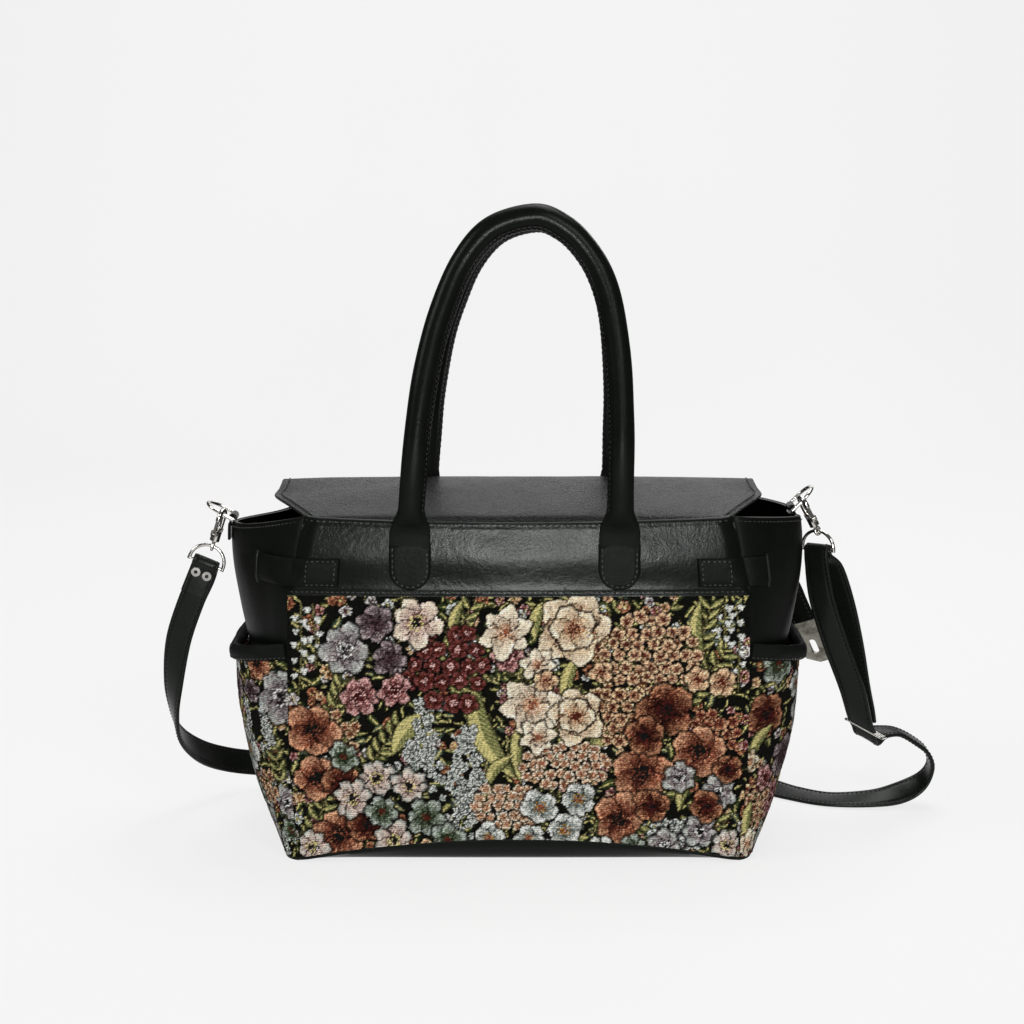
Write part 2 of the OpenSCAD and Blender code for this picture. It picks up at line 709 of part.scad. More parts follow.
// Hooks hang on the front leg of each ring. Local frame: eye at the origin, +Z up the hook,
// loop in the YZ plane, gate on the -Y side
eye_wire = 2.4;
eye_r = strap_ring_wire / 2 + seat_gap + fit_gap + eye_wire / 2;
barrel_low = eye_r + eye_wire / 2 + seat_gap;
barrel_h = 4.6;
barrel_d = 7.4;
foot_h = 4.6;
foot_low = barrel_low + barrel_h;
foot_top = foot_low + foot_h;
head_h = 1.4;
head_d = 5;
loop_half = (hook_in + hook_wire) / 2;
crown_z = foot_top + spine_h;
hook_deep = hook_wire * 1.15;
gate_t = 2;
gate_d = 2.6;
gate_play = 0.15;
gate_z = foot_low + foot_h / 2;
nose_z = crown_z - spine_h * 0.18;
hook_turn = 10;
hook_hold = crown_z + loop_half - hook_wire / 2 - hook_play - ring_wire / 2;
left_leg_share = 0.78;
right_leg_share = 0.95;
function ring_dir(side) = [side * cos(ring_tilt(side)), 0, sin(ring_tilt(side))];
function hook_lean(side) = side < 0 ? left_hook_lean : right_hook_lean;
function hook_up(side) = [-side * sin(hook_lean(side)), 0, cos(hook_lean(side))];
function leg_place(side) =
  ring_place(side) + [0, -ring_half, 0]
  + ring_dir(side) * ring_leg * (side < 0 ? left_leg_share : right_leg_share);
function eye_place(side) = leg_place(side) - hook_up(side) * hook_hold;
module at_eye(side)
  translate(eye_place(side)) rotate([0, -side * hook_lean(side), 0]) children();
module at_hook(side)
  at_eye(side) rotate([0, 0, side * hook_turn]) children();
module hook_foot()
  rotate([90, 0, 90])
    linear_extrude(hook_deep, center = true)
      polygon([
        [-loop_half - gate_d * 0.4, 0], [loop_half, 0], [loop_half + hook_wire / 2, foot_h * 0.4],
        [loop_half + hook_wire / 2, foot_h], [-loop_half - gate_d * 0.9, foot_h],
        [-loop_half - gate_d * 0.9, foot_h * 0.3]
      ]);
module hook(side)
  color(nickel)
    at_hook(side)
      difference() {
        union() {
          translate([0, 0, barrel_low]) cylinder(d = barrel_d, h = barrel_h + foot_h / 2);
          translate([0, 0, foot_low]) hook_foot();
          translate([0, loop_half, foot_top - foot_h / 2])
            cylinder(d = hook_wire, h = crown_z - foot_top + foot_h / 2);
          translate([0, -loop_half, nose_z]) cylinder(d = hook_wire, h = crown_z - nose_z);
          translate([0, 0, crown_z])
            rotate([90, 0, 90]) rotate_extrude(angle = 180) translate([loop_half, 0]) circle(d = hook_wire);
        }
        translate([0, 0, barrel_low - cut_over])
          cylinder(d = post_d + 2 * fit_gap, h = foot_top - barrel_low + 2 * cut_over);
        translate([-gate_t / 2 - gate_play, -2 * loop_half, foot_low + foot_h * 0.08])
          cube([gate_t + 2 * gate_play, 2 * loop_half - barrel_d * 0.56, foot_h + cut_over]);
        translate([0, -loop_half, gate_z])
          rotate([0, 90, 0]) cylinder(d = pin_d + fit_gap, h = hook_deep + 2 * cut_over, center = true);
      }
module gate(side)
  color(nickel)
    at_hook(side)
      translate([0, -loop_half, gate_z])
        difference() {
          union() {
            rotate([0, 90, 0]) cylinder(d = foot_h * 0.78, h = gate_t, center = true);
            translate([-gate_t / 2, -gate_d / 2, 0]) cube([gate_t, gate_d, nose_z - gate_z - seat_gap]);
          }
          rotate([0, 90, 0]) cylinder(d = pin_d + 2 * fit_gap, h = gate_t + 2 * cut_over, center = true);
        }
module gate_pin(side)
  color(nickel)
    at_hook(side)
      translate([0, -loop_half, gate_z]) rotate([0, 90, 0]) cylinder(d = pin_d, h = hook_deep, center = true);
module swivel(side)
  color(nickel)
    at_eye(side) {
      rotate([0, 0, -strap_turn(side)])
        rotate([0, 90, 0]) rotate_extrude() translate([eye_r, 0]) circle(d = eye_wire);
      translate([0, 0, eye_r]) cylinder(d = post_d, h = foot_top + seat_gap + head_h / 2 - eye_r);
      translate([0, 0, foot_top + seat_gap]) cylinder(d = head_d, h = head_h);
    }
module left_hook() { hook(-1); }
module right_hook() { hook(1); }
module left_gate() { gate(-1); }
module right_gate() { gate(1); }
module left_gate_pin() { gate_pin(-1); }
module right_gate_pin() { gate_pin(1); }
module left_swivel() { swivel(-1); }
module right_swivel() { swivel(1); }

// Rings in the ends of the strap: the round end hangs in the swivel eye
strap_half = (strap_ring_in + strap_ring_wire) / 2;
strap_bar = strap_ring_wire * bar_share;
function strap_tilt(side) = side < 0 ? left_strap_tilt : right_strap_tilt;
function strap_up(side) = [cos(strap_tilt(side)), 0, sin(strap_tilt(side))];
function strap_turn(side) = side < 0 ? 0 : right_strap_turn;
function strap_across(side) =
  [sin(strap_tilt(side)), 0, -cos(strap_tilt(side))] * cos(strap_turn(side)) - [0, sin(strap_turn(side)), 0];
function strap_back(side) = cross(strap_up(side), strap_across(side));
function strap_bar_place(side) =
  eye_place(side) - hook_up(side) * fit_gap - strap_up(side) * (strap_ring_leg + strap_half);
module strap_ring(side)
  color(nickel)
    translate(strap_bar_place(side))
      rotate([90, 0, 0]) rotate([0, 0, strap_tilt(side)]) rotate([-strap_turn(side), 0, 0])
        wire_ring(strap_half, strap_ring_leg, strap_ring_wire);
module left_strap_ring() { strap_ring(-1); }
module right_strap_ring() { strap_ring(1); }

// Shoulder strap: folded round both strap rings, with its far end held by the slider
turn_play = 0.15;
turn_r = strap_bar / 2 + seat_gap + turn_play + strap_t / 2;
turn_steps = 5;
tail_l = 26;
ply_gap = strap_t + seam_gap;
// Points of a fold round a ring bar, from the front of the strap over the bar to its back
function fold_turn(side) = [
  for (a = span(turn_steps, 0, 180))
    concat(
      strap_bar_place(side) + strap_up(side) * turn_r * sin(a) - strap_back(side) * turn_r * cos(a),
      strap_across(side)
    )
];
function down_strap(side, drop, back) =
  concat(strap_bar_place(side) - strap_up(side) * drop + strap_back(side) * back, strap_across(side));
// Points of the left end: drop below the ring bar, as a share of the tail
tail_shares = [1, 0.6, 0.19];
tuck_share = 0.05;
tuck_back_share = 0.8;
left_tail = concat(
  [for (k = tail_shares) down_strap(-1, tail_l * k, turn_r - ply_gap)],
  [down_strap(-1, tail_l * tuck_share, -turn_r * tuck_back_share)]
);
rivet_share = 0.34;
rivet_drop = tail_l * rivet_share;
// Route from the left fold to the right fold, and from there to the slider: shares of that side's
// ring bar distance, of half the base depth and of the ring bar height, then the width direction
strap_route_shares = [
  [-1.0164, -0.1026, 0.9443, 0.9, 0, -0.43], [-1.0547, -0.0897, 0.8546, 0.9, 0, -0.4],
  [-1.1015, -0.0513, 0.7083, 0.88, -0.2, -0.36], [-1.127, 0.0128, 0.5477, 0.75, -0.55, -0.32],
  [-1.1355, 0.1154, 0.425, 0.45, -0.8, -0.35], [-1.127, 0.3077, 0.3116, 0.2, -0.8, -0.5],
  [-1.076, 0.5897, 0.2125, 0.05, -0.6, -0.75], [-0.9951, 0.8974, 0.1417, 0, -0.4, -0.9],
  [-0.8718, 1.1538, 0.0944, 0, -0.3, -0.95], [-0.7017, 1.2821, 0.0661, 0, -0.3, -0.95],
  [-0.4678, 1.3333, 0.0519, 0, -0.3, -0.95], [-0.1701, 1.3462, 0.0519, 0, -0.3, -0.95],
  [0.1774, 1.3462, 0.0494, 0, -0.3, -0.95], [0.4879, 1.359, 0.0449, 0, -0.5, -0.87],
  [0.7097, 1.2821, 0.036, 0.3, -0.75, -0.6], [0.8649, 1.0769, 0.0247, 0.3, -0.93, -0.3],
  [0.9847, 0.8205, 0.018, 0.3, -0.95, -0.15], [1.1089, 0.6154, 0.0189, 0, -0.98, -0.18],
  [1.2641, 0.5641, 0.0292, 0, -0.93, -0.36], [1.3661, 0.5769, 0.0517, 0, -0.8, -0.6],
  [1.4371, 0.6026, 0.0944, 0, -0.9, -0.4], [1.4637, 0.5897, 0.1528, 0, -1, -0.1],
  [1.4415, 0.5513, 0.2112, 0, -1, 0], [1.3839, 0.4872, 0.2607, 0, -1, 0],
  [1.3262, 0.4231, 0.2944, 0.1, -1, 0], [1.2774, 0.359, 0.3034, 0.25, -0.95, -0.1],
  [1.2464, 0.2949, 0.3034, 0.5, -0.8, -0.2], [1.2198, 0.2179, 0.2944, 0.7, -0.6, -0.35],
  [1.2034, 0.159, 0.3047, 0.82, -0.42, -0.38], [1.1958, 0.1231, 0.3209, 0.82, -0.42, -0.38],
  [1.1905, 0.1013, 0.3398, 0.82, -0.42, -0.38], [1.171, 0.059, 0.3865, 0.84, -0.42, -0.3],
  [1.1355, -0.0256, 0.5034, 0.9, -0.4, 0.1], [1.069, -0.1026, 0.6742, 0.93, -0.33, 0.1],
  [1.018, -0.1474, 0.827, 0.88, -0.42, 0.05]
];
strap_return_shares = [
  [1.0512, -0.0513, 0.9304, 0.8, -0.6, 0.1], [1.0956, -0.0128, 0.809, 0.75, -0.65, 0.2],
  [1.1355, 0.0513, 0.6562, 0.72, -0.66, 0.2], [1.1665, 0.1154, 0.5034, 0.75, -0.62, 0.1],
  [1.1843, 0.1577, 0.4225, 0.8, -0.45, -0.3], [1.1949, 0.1718, 0.3587, 0.82, -0.42, -0.38]
];
front_drop = 10;
back_start = 5;
function route_place(p) =
  let (bar = strap_bar_place(p[0] < 0 ? -1 : 1))
  [p[0] * abs(bar.x), p[1] * base_d / 2, p[2] * bar.z];
function on_route(p) = concat(route_place(p), [p[3], p[4], p[5]]);
strap_points = concat(
  left_tail, fold_turn(-1), [for (p = strap_route_shares) on_route(p)],
  [down_strap(1, front_drop, -turn_r)], fold_turn(1), [down_strap(1, back_start, turn_r)],
  [for (p = strap_return_shares) on_route(p)]
);
function place_of(p) = [p[0], p[1], p[2]];
function width_of(p) = unit([p[3], p[4], p[5]]);
strap_path = [for (p = strap_points) place_of(p)];
module shoulder_strap()
  color(leather)
    sweep(
      strap_path, [for (p = strap_points) width_of(p)],
      same(strap_w / 2, strap_path), same(strap_t / 2, strap_path), strap_shares
    );

// Slider: a flat wire frame with a middle bar that the end of the strap is folded round
slider_wire = 2.2;
slider_play = 4.3;
slider_half = (strap_w + slider_wire) / 2 + slider_play;
slider_pitch = 8;
slider_shares = [1.2003, 0.1564, 0.3366];
slider_turn = -27;
slider_slope = 22.4;
slider_tip = 75;
module strap_slider()
  color(nickel)
    translate(route_place(slider_shares))
      rotate([0, 0, slider_turn]) rotate([0, slider_slope, 0]) rotate([90 + slider_tip, 0, 0]) {
        for (k = [-1:1])
          translate([0, k * slider_pitch, 0])
            rotate([0, 90, 0]) cylinder(d = slider_wire * bar_share, h = 2 * slider_half, center = true);
        for (e = [-1, 1])
          translate([e * slider_half, 0, 0])
            rotate([90, 0, 0]) cylinder(d = slider_wire, h = 2 * slider_pitch + slider_wire, center = true);
      }

// Two tubular rivets through the folded left end of the strap
rivet_tube = 4;
rivet_bore = 2.8;
rivet_flange = 0.7;
rivet_side_share = 0.22;
module strap_rivets() {
  front_y = turn_r - ply_gap - strap_t / 2;
  back_y = turn_r + strap_t / 2;
  color(nickel)
    for (e = [-1, 1])
      translate(
        strap_bar_place(-1) - strap_up(-1) * rivet_drop + strap_across(-1) * e * strap_w * rivet_side_share
      )
        rotate([90, 0, 0])
          difference() {
            union() {
              translate([0, 0, -back_y]) cylinder(d = rivet_tube, h = back_y - front_y);
              translate([0, 0, -front_y]) cylinder(d = rivet_d, h = rivet_flange);
              translate([0, 0, -back_y - rivet_flange]) cylinder(d = rivet_d, h = rivet_flange);
            }
            translate([0, 0, -back_y - 2 * rivet_flange])
              cylinder(d = rivet_bore, h = back_y - front_y + 4 * rivet_flange);
          }
}

base_panel();
front_tapestry();
back_tapestry();
front_yoke();
back_yoke();
left_gusset();
right_gusset();
left_pocket();
right_pocket();
left_pocket_binding();
right_pocket_binding();
rim_facing();
lining();
lining_floor();
flap();
front_handle();
back_handle();
front_left_handle_tab();
front_right_handle_tab();
back_left_handle_tab();
back_right_handle_tab();
left_keeper();
right_keeper();
belt_strap();
belt_plate();
belt_rivets();
left_ring_tab();
right_ring_tab();
left_d_ring();
right_d_ring();
left_hook();
right_hook();
left_gate();
right_gate();
left_gate_pin();
right_gate_pin();
left_swivel();
right_swivel();
left_strap_ring();
right_strap_ring();
shoulder_strap();
strap_slider();
strap_rivets();
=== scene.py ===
"""Tapestry tote bag: cloth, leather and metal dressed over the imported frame."""
import math

import bpy
import bmesh
import numpy as np
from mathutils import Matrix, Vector


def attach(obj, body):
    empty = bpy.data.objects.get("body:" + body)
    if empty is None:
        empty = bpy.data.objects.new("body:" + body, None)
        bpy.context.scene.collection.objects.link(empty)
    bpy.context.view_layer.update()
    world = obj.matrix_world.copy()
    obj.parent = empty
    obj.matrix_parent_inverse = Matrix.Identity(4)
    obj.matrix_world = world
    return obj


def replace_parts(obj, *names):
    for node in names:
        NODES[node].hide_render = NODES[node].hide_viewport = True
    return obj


bl_info = {
    "name": "Tapestry tote bag",
    "version": (1, 0, 0),
    "blender": (4, 5, 0),
    "location": "View3D > Sidebar > Tote",
    "description": "Dresses the packed tote bag in woven tapestry, leather and nickel",
    "category": "Object",
}

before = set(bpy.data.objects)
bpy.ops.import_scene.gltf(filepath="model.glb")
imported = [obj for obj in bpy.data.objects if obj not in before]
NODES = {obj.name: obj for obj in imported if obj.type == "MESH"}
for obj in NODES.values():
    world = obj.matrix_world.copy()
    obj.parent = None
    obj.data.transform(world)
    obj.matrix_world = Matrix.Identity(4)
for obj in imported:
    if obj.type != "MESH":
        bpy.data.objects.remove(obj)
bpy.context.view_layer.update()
MM = 0.001


# Sizes of the bag, in millimetres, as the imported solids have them
PANEL_W, MOUTH_W, BASE_D, MOUTH_D = 336.0, 316.0, 156.0, 144.0
TAPESTRY_H, BODY_H, CORNER_LIFT, BACK_DROP, ARCH_H = 202.0, 255.0, 4.0, 6.0, 16.0
WALL_BULGE, LEATHER_T, BASE_T, YOKE_LAP, TAPESTRY_T = 6.0, 2.0, 2.4, 1.0, 2.0
GUSSET_REACH, GUSSET_FOOT, LEFT_DROP, RIGHT_DROP, RIGHT_FOLD = 58.0, 3.0, 14.0, 7.0, 9.0
POCKET_H, POCKET_DIP, POCKET_REACH, POCKET_FOOT = 160.0, 13.0, 42.0, 8.0
BINDING_H, BINDING_T, FACING_H, LINING_T = 12.0, 8.0, 34.0, 0.8
FLAP_W, FLAP_FRONT_W, FLAP_CROWN, FLAP_TUCK, FLAP_T = 370.0, 302.0, 8.0, 32.0, 2.2
HANDLE_D, HANDLE_SPAN, HANDLE_RISE, HANDLE_LEAN = 18.0, 150.0, 217.0, 30.0
HANDLE_BACK_SHIFT, HANDLE_BACK_DROP = 4.0, 7.0
TAB_W, TAB_H, TAB_T, TAB_DROP = 30.0, 33.0, 3.4, 15.0
KEEPER_W, KEEPER_T, KEEPER_FRONT, KEEPER_DROP = 20.0, 2.0, 38.0, 26.0
STRAP_W, STRAP_T = 20.0, 2.8
SEAT, SEAM = 0.3, 0.2
LOW_Z = BASE_T + SEAM
CORNER_R, CORNER_FADE, RIM_R, RIM_START, RIM_RISE = 15.0, 85.0, 14.0, 4.0, 26.0
RIM_Z = BODY_H + CORNER_LIFT
YOKE_H = BODY_H - TAPESTRY_H
# Distance of a row of stitches from the edge it runs along, and from the rim
STITCH_IN, RIM_STITCH_IN = 2.6, 2.0


def length_setting(name, description, default):
    return bpy.props.FloatProperty(name=name, description=description, default=default * MM, unit="LENGTH")


def colour_setting(name, description, default):
    return bpy.props.FloatVectorProperty(
        name=name, description=description, subtype="COLOR", size=3, default=default)


class ToteSizes(bpy.types.PropertyGroup):
    """Sizes of the sewing that a user may change."""
    stitch_pitch: length_setting("Stitch pitch", "Distance from one stitch to the next", 3.7)
    thread: length_setting("Thread", "Thickness of the sewing thread", 1.05)
    rib_pitch: length_setting("Rib pitch", "Distance between the weft ribs of the tapestry", 1.5)
    relief: length_setting("Relief", "Height of the woven flowers over the ground", 0.9)


class ToteColours(bpy.types.PropertyGroup):
    """Colours of the materials, as linear values."""
    leather: colour_setting("Leather", "Colour of the leather", (0.0038, 0.0046, 0.0037))
    thread: colour_setting("Thread", "Colour of the sewing thread", (0.01, 0.01, 0.009))
    nickel: colour_setting("Nickel", "Colour of the plated metal", (0.66, 0.64, 0.6))
    aged: colour_setting("Aged plate", "Colour of the belt plate", (0.34, 0.33, 0.29))
    cloth: colour_setting("Lining", "Colour of the lining cloth", (0.012, 0.012, 0.013))
    floor: colour_setting("Floor", "Colour of the floor and backdrop", (0.88, 0.88, 0.88))


def sizes():
    return bpy.context.scene.tote_sizes


def colours():
    return bpy.context.scene.tote_colours


# Plain helpers on arrays
FULL_TURN = 6.283


def lerp(a, b, t):
    return a + (b - a) * t


def ease(t):
    t = np.clip(t, 0, 1)
    return t * t * (3 - 2 * t)


def unit(p):
    p = np.asarray(p, float)
    return p / np.maximum(np.linalg.norm(p, axis=-1, keepdims=True), 1e-9)


def stack(x, y, z):
    return np.stack(np.broadcast_arrays(x, y, z), axis=-1).astype(float)


def grid_of(first, second, counts):
    """Two grids of even values, each from its first to its last, with the given counts."""
    return np.meshgrid(np.linspace(*first, counts[0]), np.linspace(*second, counts[1]), indexing="ij")


def bump_at(x, middle, width):
    """Soft ridge of height 1 round a value."""
    return np.exp(-((x - middle) / width) ** 2)


def through(p, u):
    """Smooth curve through the rows of p, u from 0 to the last row."""
    p = np.asarray(p, float)
    last = len(p) - 1
    u = np.asarray(u, float)
    i = np.clip(np.floor(u).astype(int), 0, last - 1)
    t = (u - i)[..., None]
    a, b, c, d = p[np.maximum(i - 1, 0)], p[i], p[i + 1], p[np.minimum(i + 2, last)]
    return (2 * b + (c - a) * t + (2 * a - 5 * b + 4 * c - d) * t**2 + (3 * b - a - 3 * c + d) * t**3) / 2


def even(path, step):
    """Points along a polyline at an even step, with the further columns of its rows."""
    path = np.asarray(path, float)
    run = np.concatenate([[0], np.cumsum(np.linalg.norm(np.diff(path[:, :3], axis=0), axis=1))])
    n = max(2, int(round(run[-1] / step)) + 1)
    at = np.linspace(0, run[-1], n)
    return np.stack([np.interp(at, run, path[:, k]) for k in range(path.shape[1])], axis=1)


def headings(path):
    return unit(np.gradient(np.asarray(path, float), axis=0))


def ripple(p, size, seed, n=7):
    """Smooth unevenness from -1 to 1 over points in millimetres, with features of about the given size."""
    rng = np.random.default_rng(seed)
    out = np.zeros(p.shape[:-1])
    for _ in range(n):
        d = unit(rng.normal(size=3)) * 2 * math.pi / (size * rng.uniform(0.7, 1.6))
        out += np.sin(p @ d + rng.uniform(0, FULL_TURN))
    return out / n * 1.6


# Form of the walls: powers that say how sharply each turns, and the swell in degrees of a sine
MOUTH_TURN, LEFT_TURN, RIGHT_TURN, RIGHT_FOLD_SHARE = 8, 1.6, 2.4, 0.3
LEFT_RIM_BACK, LEFT_RIM_FRONT = 6, 2
POCKET_TURN, POCKET_BELLY = 3.5, 2.2
BULGE_FROM, BULGE_SWEEP = 15, 150


# Walls of the body, v from 0 at the bottom seam to 1 at the rim
def corner_x(v):
    return lerp(PANEL_W, MOUTH_W, np.clip(v, 0, 1) ** MOUTH_TURN) / 2


def corner_y(v):
    return lerp(BASE_D, MOUTH_D, v) / 2


def bulge(v, s):
    return WALL_BULGE * np.sin(np.radians(BULGE_FROM + BULGE_SWEEP * np.clip(v, 0, 1))) * (1 - s * s)


def wall_low(s):
    return LOW_Z + ARCH_H * (1 - s * s)


def wall_top(s):
    return BODY_H + CORNER_LIFT * s * s


def soften(p):
    """Rounds the upright corners in plan, at the floor and at the rim."""
    x, y, z = p[..., 0], p[..., 1], p[..., 2]
    r = CORNER_R * (1 - ease(z / CORNER_FADE)) + RIM_R * ease((z - TAPESTRY_H + RIM_START) / RIM_RISE)
    qx = np.maximum(np.abs(x) - corner_x((z - LOW_Z) / (BODY_H - LOW_Z)) + r, 0)
    qy = np.maximum(np.abs(y) - lerp(BASE_D, MOUTH_D, z / BODY_H) / 2 + r, 0)
    past = np.maximum(np.hypot(qx, qy), 1e-9)
    k = np.where((qx > 0) & (qy > 0), 1 - np.maximum(qx, qy) / past, 0)
    return stack(np.sign(x) * (np.abs(x) - qx * k), np.sign(y) * (np.abs(y) - qy * k), z)


def front_wall(s, v, inset):
    x, y = s * (corner_x(v) - inset), inset - corner_y(v) - bulge(v, s)
    return soften(stack(x, y, lerp(wall_low(s), wall_top(s), v)))


def back_wall(s, v, inset):
    p = front_wall(s, v, inset)
    return stack(p[..., 0], -p[..., 1], p[..., 2] - v * BACK_DROP)


def wall_y(x, z):
    v = (z - LOW_Z) / (BODY_H - LOW_Z)
    return front_wall(x / corner_x(v), v, 0)[..., 1]


def gusset_crown(side, v, t):
    reach = lerp(GUSSET_FOOT, GUSSET_REACH, v)
    if side < 0:
        return reach * (1 - np.abs(t) ** LEFT_TURN)
    fold = RIGHT_FOLD * np.clip(v, 0, 1) ** MOUTH_TURN * bump_at(t, 0, RIGHT_FOLD_SHARE)
    return reach * (1 - np.abs(t) ** RIGHT_TURN) - fold * (1 - t * t)


def end_top(side, t):
    if side < 0:
        dip = LEFT_DROP * (1 - np.abs(t) ** np.where(t > 0, LEFT_RIM_BACK, LEFT_RIM_FRONT))
    else:
        dip = RIGHT_DROP * (1 - t * t)
    return RIM_Z - dip - BACK_DROP * (1 + t) / 2


def gusset(side, t, v, inset):
    x = side * (corner_x(v) - inset + gusset_crown(side, v, t))
    return soften(stack(x, t * (corner_y(v) - inset), lerp(LOW_Z, end_top(side, t), v)))


def seam_level(s):
    return (TAPESTRY_H - wall_low(s)) / (wall_top(s) - wall_low(s))


def pocket_crown(t):
    return 1 - np.abs(t) ** POCKET_TURN


def pocket_out(w):
    return lerp(POCKET_FOOT, POCKET_REACH, 1 - np.clip(1 - w, 0, 1) ** POCKET_BELLY)


def pocket_rim(t):
    return POCKET_H - POCKET_DIP * (1 - t * t)


def pocket_y(t, z):
    return t * corner_y((z - LOW_Z) / (RIM_Z - LOW_Z))


def pocket_point(side, t, w, out):
    z = lerp(LOW_Z, pocket_rim(t) - BINDING_H / 2 - SEAM, w)
    x = side * (PANEL_W / 2 + SEAT + pocket_out(w) * pocket_crown(t) + out)
    return soften(stack(x, pocket_y(t, z), z))


# Meshes from rows of points in millimetres
def new_object(name, verts, faces, material, slot="leather", sharp=40.0):
    mesh = bpy.data.meshes.new(name)
    mesh.from_pydata((np.asarray(verts, float) * MM).tolist(), [], [list(f) for f in faces])
    mesh.validate()
    work = bmesh.new()
    work.from_mesh(mesh)
    bmesh.ops.recalc_face_normals(work, faces=work.faces)
    work.to_mesh(mesh)
    work.free()
    mesh.polygons.foreach_set("use_smooth", np.ones(len(mesh.polygons), bool))
    mesh.set_sharp_from_angle(angle=math.radians(sharp))
    mesh.materials.append(material)
    obj = bpy.data.objects.new(name, mesh)
    bpy.context.scene.collection.objects.link(obj)
    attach(obj, "bag")
    return obj


def grid_faces(n, m, start=0, closed=False, turn=False):
    i, j = np.meshgrid(np.arange(n if closed else n - 1), np.arange(m - 1), indexing="ij")
    k = (i + 1) % n
    q = np.stack([i * m + j, k * m + j, k * m + j + 1, i * m + j + 1], axis=-1).reshape(-1, 4) + start
    return (q[:, ::-1] if turn else q).tolist()


def rim_of(n, m):
    """Row and column of each point round the edge of a grid, in order."""
    ring = [(i, 0) for i in range(n)] + [(n - 1, j) for j in range(1, m)]
    ring += [(i, m - 1) for i in range(n - 2, -1, -1)] + [(0, j) for j in range(m - 2, 0, -1)]
    return np.array(ring).T


def closed_sheet(name, near, far, material, round_edge=0.0, **kw):
    """Solid between two grids of points, with its edge pushed out into a soft round."""
    n, m = near.shape[:2]
    ri, rj = rim_of(n, m)
    mid = (near + far) / 2
    inner = mid[np.clip(ri, 1, n - 2), np.clip(rj, 1, m - 2)]
    rim = mid[ri, rj] + unit(mid[ri, rj] - inner) * round_edge
    verts = np.concatenate([near.reshape(-1, 3), far.reshape(-1, 3), rim])
    faces = grid_faces(n, m) + grid_faces(n, m, n * m, turn=True)
    a = (ri * m + rj).tolist()
    for k in range(len(a)):
        e = (k + 1) % len(a)
        r0, r1 = 2 * n * m + k, 2 * n * m + e
        faces += [[a[e], a[k], r0, r1], [r1, r0, a[k] + n * m, a[e] + n * m]]
    return new_object(name, verts, faces, material, **kw)


def closed_band(name, near, far, material, **kw):
    """Ring-shaped solid: both grids close on themselves along their first direction."""
    n, m = near.shape[:2]
    verts = np.concatenate([near.reshape(-1, 3), far.reshape(-1, 3)])
    faces = grid_faces(n, m, closed=True) + grid_faces(n, m, n * m, closed=True, turn=True)
    for i in range(n):
        k = (i + 1) % n
        faces += [[i * m, k * m, n * m + k * m, n * m + i * m],
                  [k * m + m - 1, i * m + m - 1, n * m + i * m + m - 1, n * m + k * m + m - 1]]
    return new_object(name, verts, faces, material, **kw)


def frames_along(path, across):
    along = headings(path)
    deep = unit(np.cross(along, across))
    return np.cross(deep, along), deep


def swept(name, path, across, section, material, **kw):
    """Solid of a section carried along a path; section is (k, 2) or (n, k, 2), wide then deep."""
    path = np.asarray(path, float)
    wide, deep = frames_along(path, across)
    section = np.asarray(section, float)
    if section.ndim == 2:
        section = np.broadcast_to(section, (len(path),) + section.shape)
    pts = path[:, None] + wide[:, None] * section[..., :1] + deep[:, None] * section[..., 1:]
    n, k = pts.shape[:2]
    verts = pts.reshape(-1, 3)
    faces = []
    for i in range(n - 1):
        for j in range(k):
            e = (j + 1) % k
            faces.append([i * k + j, (i + 1) * k + j, (i + 1) * k + e, i * k + e])
    faces += [list(range(k))[::-1], list(range((n - 1) * k, n * k))]
    return new_object(name, verts, faces, material, **kw)


def flat_section(width, thick, edge=0.8, groove=0.0):
    """Outline of a strap: soft edges, and a pressed line near each edge."""
    w, d = width / 2, thick / 2
    g = w - STITCH_IN
    top = [(w, 0.0), (w - 0.1, d * 0.6), (w - edge, d), (g + 0.7, d), (g, d - groove), (g - 0.7, d),
           (g - 2.5, d + groove * 0.3)]
    half = top + [(0.0, d + groove * 0.4)] + [(-x, y) for x, y in reversed(top)]
    return np.array(half + [(-x, -y) for x, y in half[1:-1]])


# A stitch: step along its pitch, then height and thickness as shares of the thread's radius
STITCH_STEPS, STITCH_SIDES = 6, 6
STITCH_FORM = ((0, -0.9, 0.45), (1, 0.4, 0.97), (3, 0.4, 0.97), (4, -0.9, 0.45))


def sew(name, path, normal, material, skip=0.0, stout=1.0):
    """Row of stitches that stand on a path, each a short round of thread dipping in at both ends."""
    pitch, r = sizes().stitch_pitch / MM * stout, sizes().thread / MM / 2 * stout
    line = np.concatenate([np.asarray(path, float), np.broadcast_to(normal, (len(path), 3))], axis=1)
    line = even(line, pitch / STITCH_STEPS)
    p, nrm = line[:, :3], unit(line[:, 3:])
    side = np.cross(headings(p), nrm)
    turns = np.arange(STITCH_SIDES)[:, None] * 2 * math.pi / STITCH_SIDES
    last = (len(STITCH_FORM) - 1) * STITCH_SIDES
    verts, faces = [], []
    for start in range(int(skip * STITCH_STEPS), len(p) - STITCH_STEPS + 1, STITCH_STEPS):
        base = len(verts) * STITCH_SIDES
        for step, lift, thick in STITCH_FORM:
            i = min(start + step, len(p) - 1)
            ring = side[i] * np.cos(turns) + nrm[i] * np.sin(turns)
            verts.append(p[i] + nrm[i] * lift * r + ring * r * thick)
        for q in range(base, base + last, STITCH_SIDES):
            for j in range(STITCH_SIDES):
                e = (j + 1) % STITCH_SIDES
                faces.append([q + j, q + STITCH_SIDES + j, q + STITCH_SIDES + e, q + e])
        faces.append([base + j for j in reversed(range(STITCH_SIDES))])
        faces.append([base + last + j for j in range(STITCH_SIDES)])
    return new_object(name, np.concatenate(verts), faces, material)


def grid_normals(p):
    du, dv = np.gradient(p, axis=0), np.gradient(p, axis=1)
    return unit(np.cross(du, dv))


